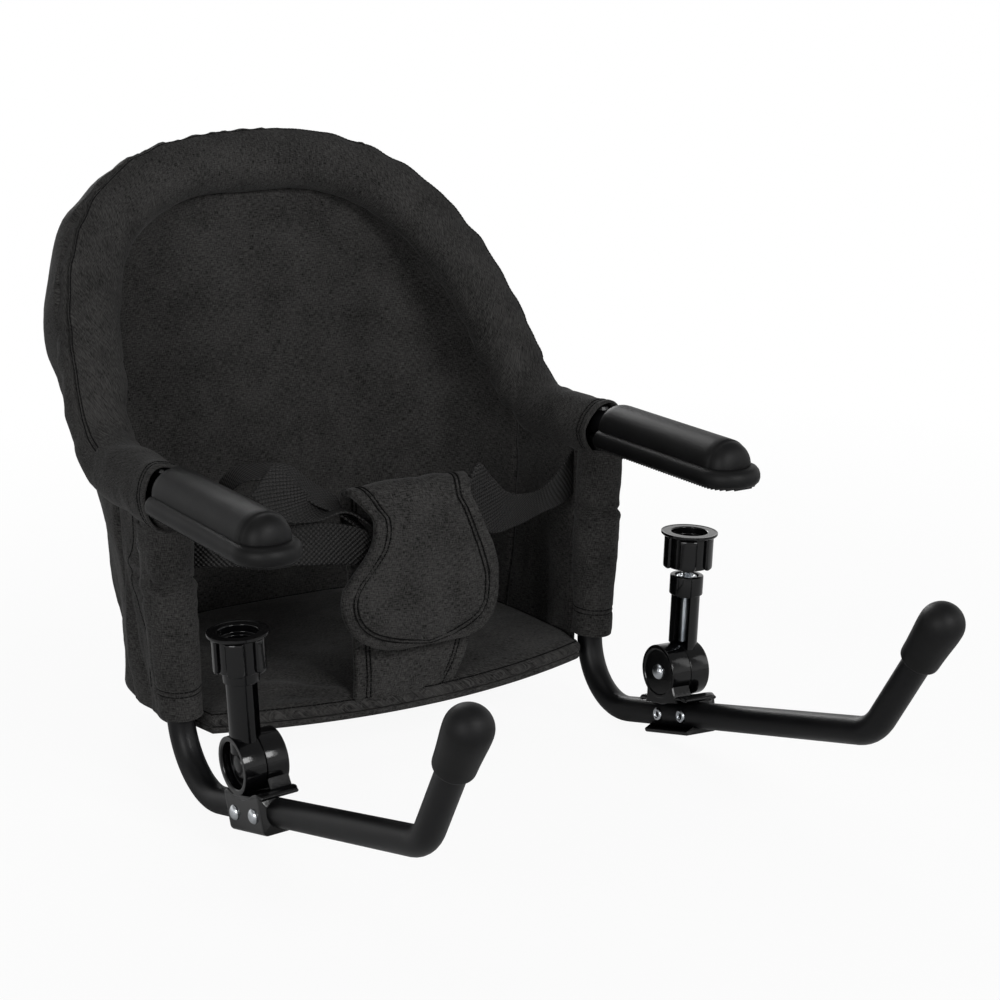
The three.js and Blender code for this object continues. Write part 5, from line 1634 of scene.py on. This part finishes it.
for name, side in SIDES.items():
    outside, rows = sleeve_rows(side)
    body = lattice("sleeve", side_point(side, rows), CLOTH, looped=True)
    middle = sleeve_flap_middle(side)
    flap = sheet_piece("flap", middle[:, ::side], FLAP_CLOTH, CLOTH, front=flap_face,
                       back_push=lambda p: -flap_face(p))
    sleeve = joined(f"{name}_upright_sleeve_cloth", [body, flap], CLOTH, "chair",
                    [f"{name}_upright_sleeve"])
    all_round = np.linspace(0, outside.shape[1] - 1.1, 90)
    lines = [side_point(side, on_lattice(outside, (line - SLEEVE_LOW) / (SLEEVE_HIGH - SLEEVE_LOW)
                                         * (len(outside) - 1), all_round)) for line in HEM_LINES]
    edge = on_lattice(middle, np.linspace(1, len(middle) - 2, 100), middle.shape[1] - 2.5)
    lines.append(edge + np.stack([side * (FLAP_CLOTH / 2 + flap_face(edge) * 0.9), 0 * edge[:, 0],
                                  0 * edge[:, 0]], axis=-1))
    stitched(sleeve, lines)
    piece = lattice(f"{name}_press_stud_cap", press_stud(side), GLOSS_PLASTIC)
    settle(piece, "chair", [f"{name}_press_stud"])
    print(sleeve.name, "faces", len(sleeve.data.polygons))

# %% [markdown]
# ## Crotch piece and harness
# One padded strip is sewn to the seat's front seam, rises behind the buckle, rolls over at the
# top, and hangs down in front as a bell-shaped flap that hides the buckle. Its edges are bound
# with a folded tape, 8 mm wide, held by two rows of stitches.

# %% Smooth stations
def smooth_rows(stations, count):
    """Stations of several values each, joined by a smooth curve of count points."""
    stations = np.array(stations, float)
    reach = run_along(stations)
    slopes = np.gradient(stations, reach, axis=0)
    out = []
    for place in np.linspace(0, reach[-1], count):
        k = min(int(np.searchsorted(reach, place, side="right")) - 1, len(stations) - 2)
        h = reach[k + 1] - reach[k]
        t = (place - reach[k]) / h
        rise = 3 * t ** 2 - 2 * t ** 3
        bend = (t ** 3 - 2 * t ** 2 + t) * slopes[k] + (t ** 3 - t ** 2) * slopes[k + 1]
        out.append((1 - rise) * stations[k] + rise * stations[k + 1] + h * bend)
    return np.array(out)


# %% Crotch piece with its flap
CROTCH_THICK, FLAP_Y, CROTCH_TOP, TAPE = 7.0, -46.0, 208.0, 8.0
ROLL_R = 11.0
RISE = [(-15, 38.5, -34, 54), (-12, 41, -34, 62), (-8, 44, -33.6, 74), (-5, 47, -32.6, 90),
        (-4, 48, -30.4, 110), (-4, 48, -27, 140), (-6, 48, -25, 170), (-8, 48, -24.2, 186)]
ROLL = [(centre, half, FLAP_Y + ROLL_R * (1 + math.cos(t)),
         CROTCH_TOP - ROLL_R * (1 - math.sin(t))) for centre, half, t in zip(
             (-8.5, -9, -9, -9, -9, -8.5, -6.5), (48, 48, 48, 47, 46, 44, 42),
             np.linspace(0, math.pi, 7))]
HANG = [(-2, 41, -46.8, 190), (0, 42.5, -47.6, 182), (1, 45.7, -48, 172), (0, 51.5, -48.2, 162),
        (-2.8, 57.5, -48.2, 152), (-5, 61.8, -48, 143), (-6, 63, -47.7, 132),
        (-5, 61.5, -47.4, 120), (-3.5, 57, -47.3, 109.8), (-2, 49, -47.3, 101.4),
        (-0.5, 38, -47.3, 96), (0, 25, -47.3, 93.5)]


def strip_middle(stations, rows=60, columns=41):
    """A strip across X: each station gives the centre, half width, y and z of the middle line."""
    line = smooth_rows(stations, rows)
    share = np.linspace(-1, 1, columns)
    return np.array([[(centre + half * s, y, z) for s in share] for centre, half, y, z in line])


crotch_middle = strip_middle(RISE + ROLL + HANG, 280, 181)
centres = crotch_middle[:, crotch_middle.shape[1] // 2, 0]
halves = crotch_middle[:, -1, 0] - centres
run = run_along(crotch_middle[:, 0, 1:])
edge_line = np.concatenate([np.stack([-halves, run], axis=-1)[::4],
                            np.stack([halves, run], axis=-1)[::-4]])


def from_edge(x, along):
    """Distance on the flat cloth from a point to the nearest cut edge, the sewn end left out."""
    a, b = edge_line[:-1], edge_line[1:]
    way = b - a
    p = np.stack([x, along], axis=-1)[..., None, :]
    t = np.clip(((p - a) * way).sum(-1) / np.maximum((way ** 2).sum(-1), 1e-9), 0, 1)
    return np.linalg.norm(p - a - way * t[..., None], axis=-1).min(axis=-1)


SEAMS = (TAPE + 0.4, TAPE + 3.4)


def crotch_face(points):
    """Fullness inside the bound edge, and the groove that each row of stitches pulls in."""
    place = np.linspace(0, len(run) - 1, points.shape[0])
    along = np.interp(place, np.arange(len(run)), run)
    across = points[..., 0] - np.interp(place, np.arange(len(run)), centres)[:, None]
    inside = from_edge(across, np.broadcast_to(along[:, None], points.shape[:2]))
    push = bumps(points, (1.1, 30, 0, EVEN), (0.5, 12, 11, EVEN), (0.15, 6, 0, EVEN))
    full = 1.8 * smoothstep(inside, TAPE + 3, TAPE + 18)
    for seam in SEAMS:
        full = full - 1.0 * groove(inside - seam, 0.8)
    pucker = np.sin(along[:, None] / 1.9 + 3 * cloud(points + 77, 16)) * groove(inside - TAPE, 4)
    full = full + 0.3 * pucker
    return push * smoothstep(inside, 2, 20) + full


crotch = sheet_piece("crotch_piece_with_flap", crotch_middle, CROTCH_THICK - 1.6, CLOTH,
                     front=crotch_face, back_push=crotch_face)
print("crotch middle", crotch_middle.shape)

# %% Binding stitches on the crotch piece
def bound_lines(insets, rows_from, rows_to, face_side):
    """Seam lines a set distance inside the cut edge of the crotch piece, on one of its faces."""
    lines = []
    normal = facing_out(crotch_middle)
    for inset in insets:
        for sign in (-1, 1):
            spots = []
            for row in range(rows_from, rows_to):
                x = sign * (halves[row] - inset)
                for _ in range(4):
                    gap = from_edge(np.array([x]), np.array([run[row]]))[0]
                    x += sign * (gap - inset) * 0.8
                if sign * x <= 0:
                    break
                column = (x / halves[row] + 1) / 2 * (crotch_middle.shape[1] - 1)
                out = on_lattice(normal, row, column) * face_side * (CROTCH_THICK / 2 - 1.0)
                spots.append(on_lattice(crotch_middle, row, column) + out)
            lines.append(np.array(spots))
    return lines


lines = []
for face_side in (1, -1):
    lines += bound_lines(SEAMS, 4, len(crotch_middle) - 2, face_side)
stitched(crotch, lines)
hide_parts("crotch_pad", "crotch_flap")
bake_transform(crotch)
print("crotch faces", len(crotch.data.polygons))

# %% [markdown]
# The waist belts run from slits in the side panels to the buckle under the flap. The left one
# stands up in a fold beside the flap. The right one has a slack loop and a loose tail, which
# stick up behind the near armrest. Each strap is given by the lines that its two edges follow.

# %% Belts and crotch strap
STRAP_WIDTH, STRAP_THICK = 27.0, 1.6
BUCKLE_HALF, BUCKLE_Y, BUCKLE_Z, BUCKLE_TALL, TONGUE = 17.0, -36.5, 156.0, 15.0, 11.3
ROOT = BUCKLE_HALF + 0.3 + TONGUE
WALL_END = wrap_half(183) - 3.2


def ribbon(upper, lower, rows=110, columns=15):
    """The middle of a strap between its two edges, each a smooth line through a few points."""
    high, low = smooth_rows(upper, rows), smooth_rows(lower, rows)
    share = np.linspace(0, 1, columns)[None, :, None]
    return low[:, None] * (1 - share) + high[:, None] * share


FAR_BELT = (
    [(ROOT, -36.5, 169.5), (38, -31, 184), (50, -24, 206), (52, -29, 213.5), (67, -24, 200.3),
     (84, -17, 185.9), (108, -8, 179.1), (134.8, 4, 181.5), (152, 9, 194), (WALL_END, 17, 200)],
    [(ROOT, -36.5, 142.5), (32, -33, 160), (31, -26, 185), (33.5, -31, 191.6),
     (50.6, -26, 174.9), (66.8, -20, 158.1), (97, -9, 156), (128.7, 4, 158.5), (150, 9, 161.5),
     (WALL_END, 16, 166)])
NEAR_BELT = (
    [(-ROOT, -36.5, 169.5), (-45, -37, 181), (-65, -35, 188), (-88, -32, 190.5),
     (-110, -26, 189), (-132, -12, 187), (-150, 4, 184), (-WALL_END, 17, 184)],
    [(-ROOT, -36.5, 142.5), (-42, -37, 153), (-60, -35.5, 157.5), (-88, -33, 161),
     (-110, -27, 162), (-132, -13, 161.5), (-150, 3, 160), (-WALL_END, 16, 158)])
NEAR_TAIL = (
    [(-27, -17, 178), (-49, -17, 192), (-72.8, -26, 200.6), (-95.1, -36, 220.7),
     (-111, -34.5, 237)],
    [(-38, -40, 182), (-61.8, -41, 196.6), (-82.9, -42, 193.8), (-107, -42, 196.6),
     (-131, -38, 217)])
NEAR_LOOP = (
    [(-32, -18, 180), (-51.5, -18, 198.6), (-71.2, -16, 212.3), (-94.7, -18, 230),
     (-110, -14, 231.9), (-122.6, -6, 229.7), (-129, 4, 222.6), (-133, 12, 212), (-142, 19, 199),
     (-WALL_END, 26, 184)],
    [(-42, -34, 176), (-60.2, -34, 191.4), (-80.8, -34, 202.9), (-104.1, -36, 218.5),
     (-120.1, -34, 225.8), (-128.8, -26, 223.8), (-133, -14, 215), (-136, -2, 203),
     (-142, 8, 186), (-WALL_END, 14, 166)])
STRAPS = {"left": [FAR_BELT], "right": [NEAR_BELT, NEAR_TAIL, NEAR_LOOP]}
for name, side in SIDES.items():
    shells = [sheet_piece("strap", ribbon(*edges), STRAP_THICK, WEBBING_PAINTED_WEAVE_SHADE) for edges in STRAPS[name]]
    belt = joined(f"{name}_waist_belt_webbing", shells, WEBBING_PAINTED_WEAVE_SHADE, "chair", [f"{name}_waist_belt"])
    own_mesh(belt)
strap_run = [(0, 13.5, -36.6, 96), (0, 13.5, -36.6, 118),
             (0, 13.5, BUCKLE_Y, BUCKLE_Z - BUCKLE_TALL)]
strap = sheet_piece("crotch_strap_webbing", strip_middle(strap_run, 30, 11), STRAP_THICK, WEBBING_PAINTED_WEAVE_SHADE)
settle(strap, "chair", ["crotch_strap"])
print("belts made")

# %% Finishes on the solids that stay
LOOKS = {"buckle_body": SATIN_PLASTIC, "seat_board": HARDBOARD}
for name in SIDES:
    LOOKS.update({f"{name}_buckle_tongue": SATIN_PLASTIC, f"{name}_upright_plug": BLACK_OXIDE,
                  f"{name}_arm_screw": BLACK_OXIDE})
for name, look in LOOKS.items():
    repaint(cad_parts[name], look)
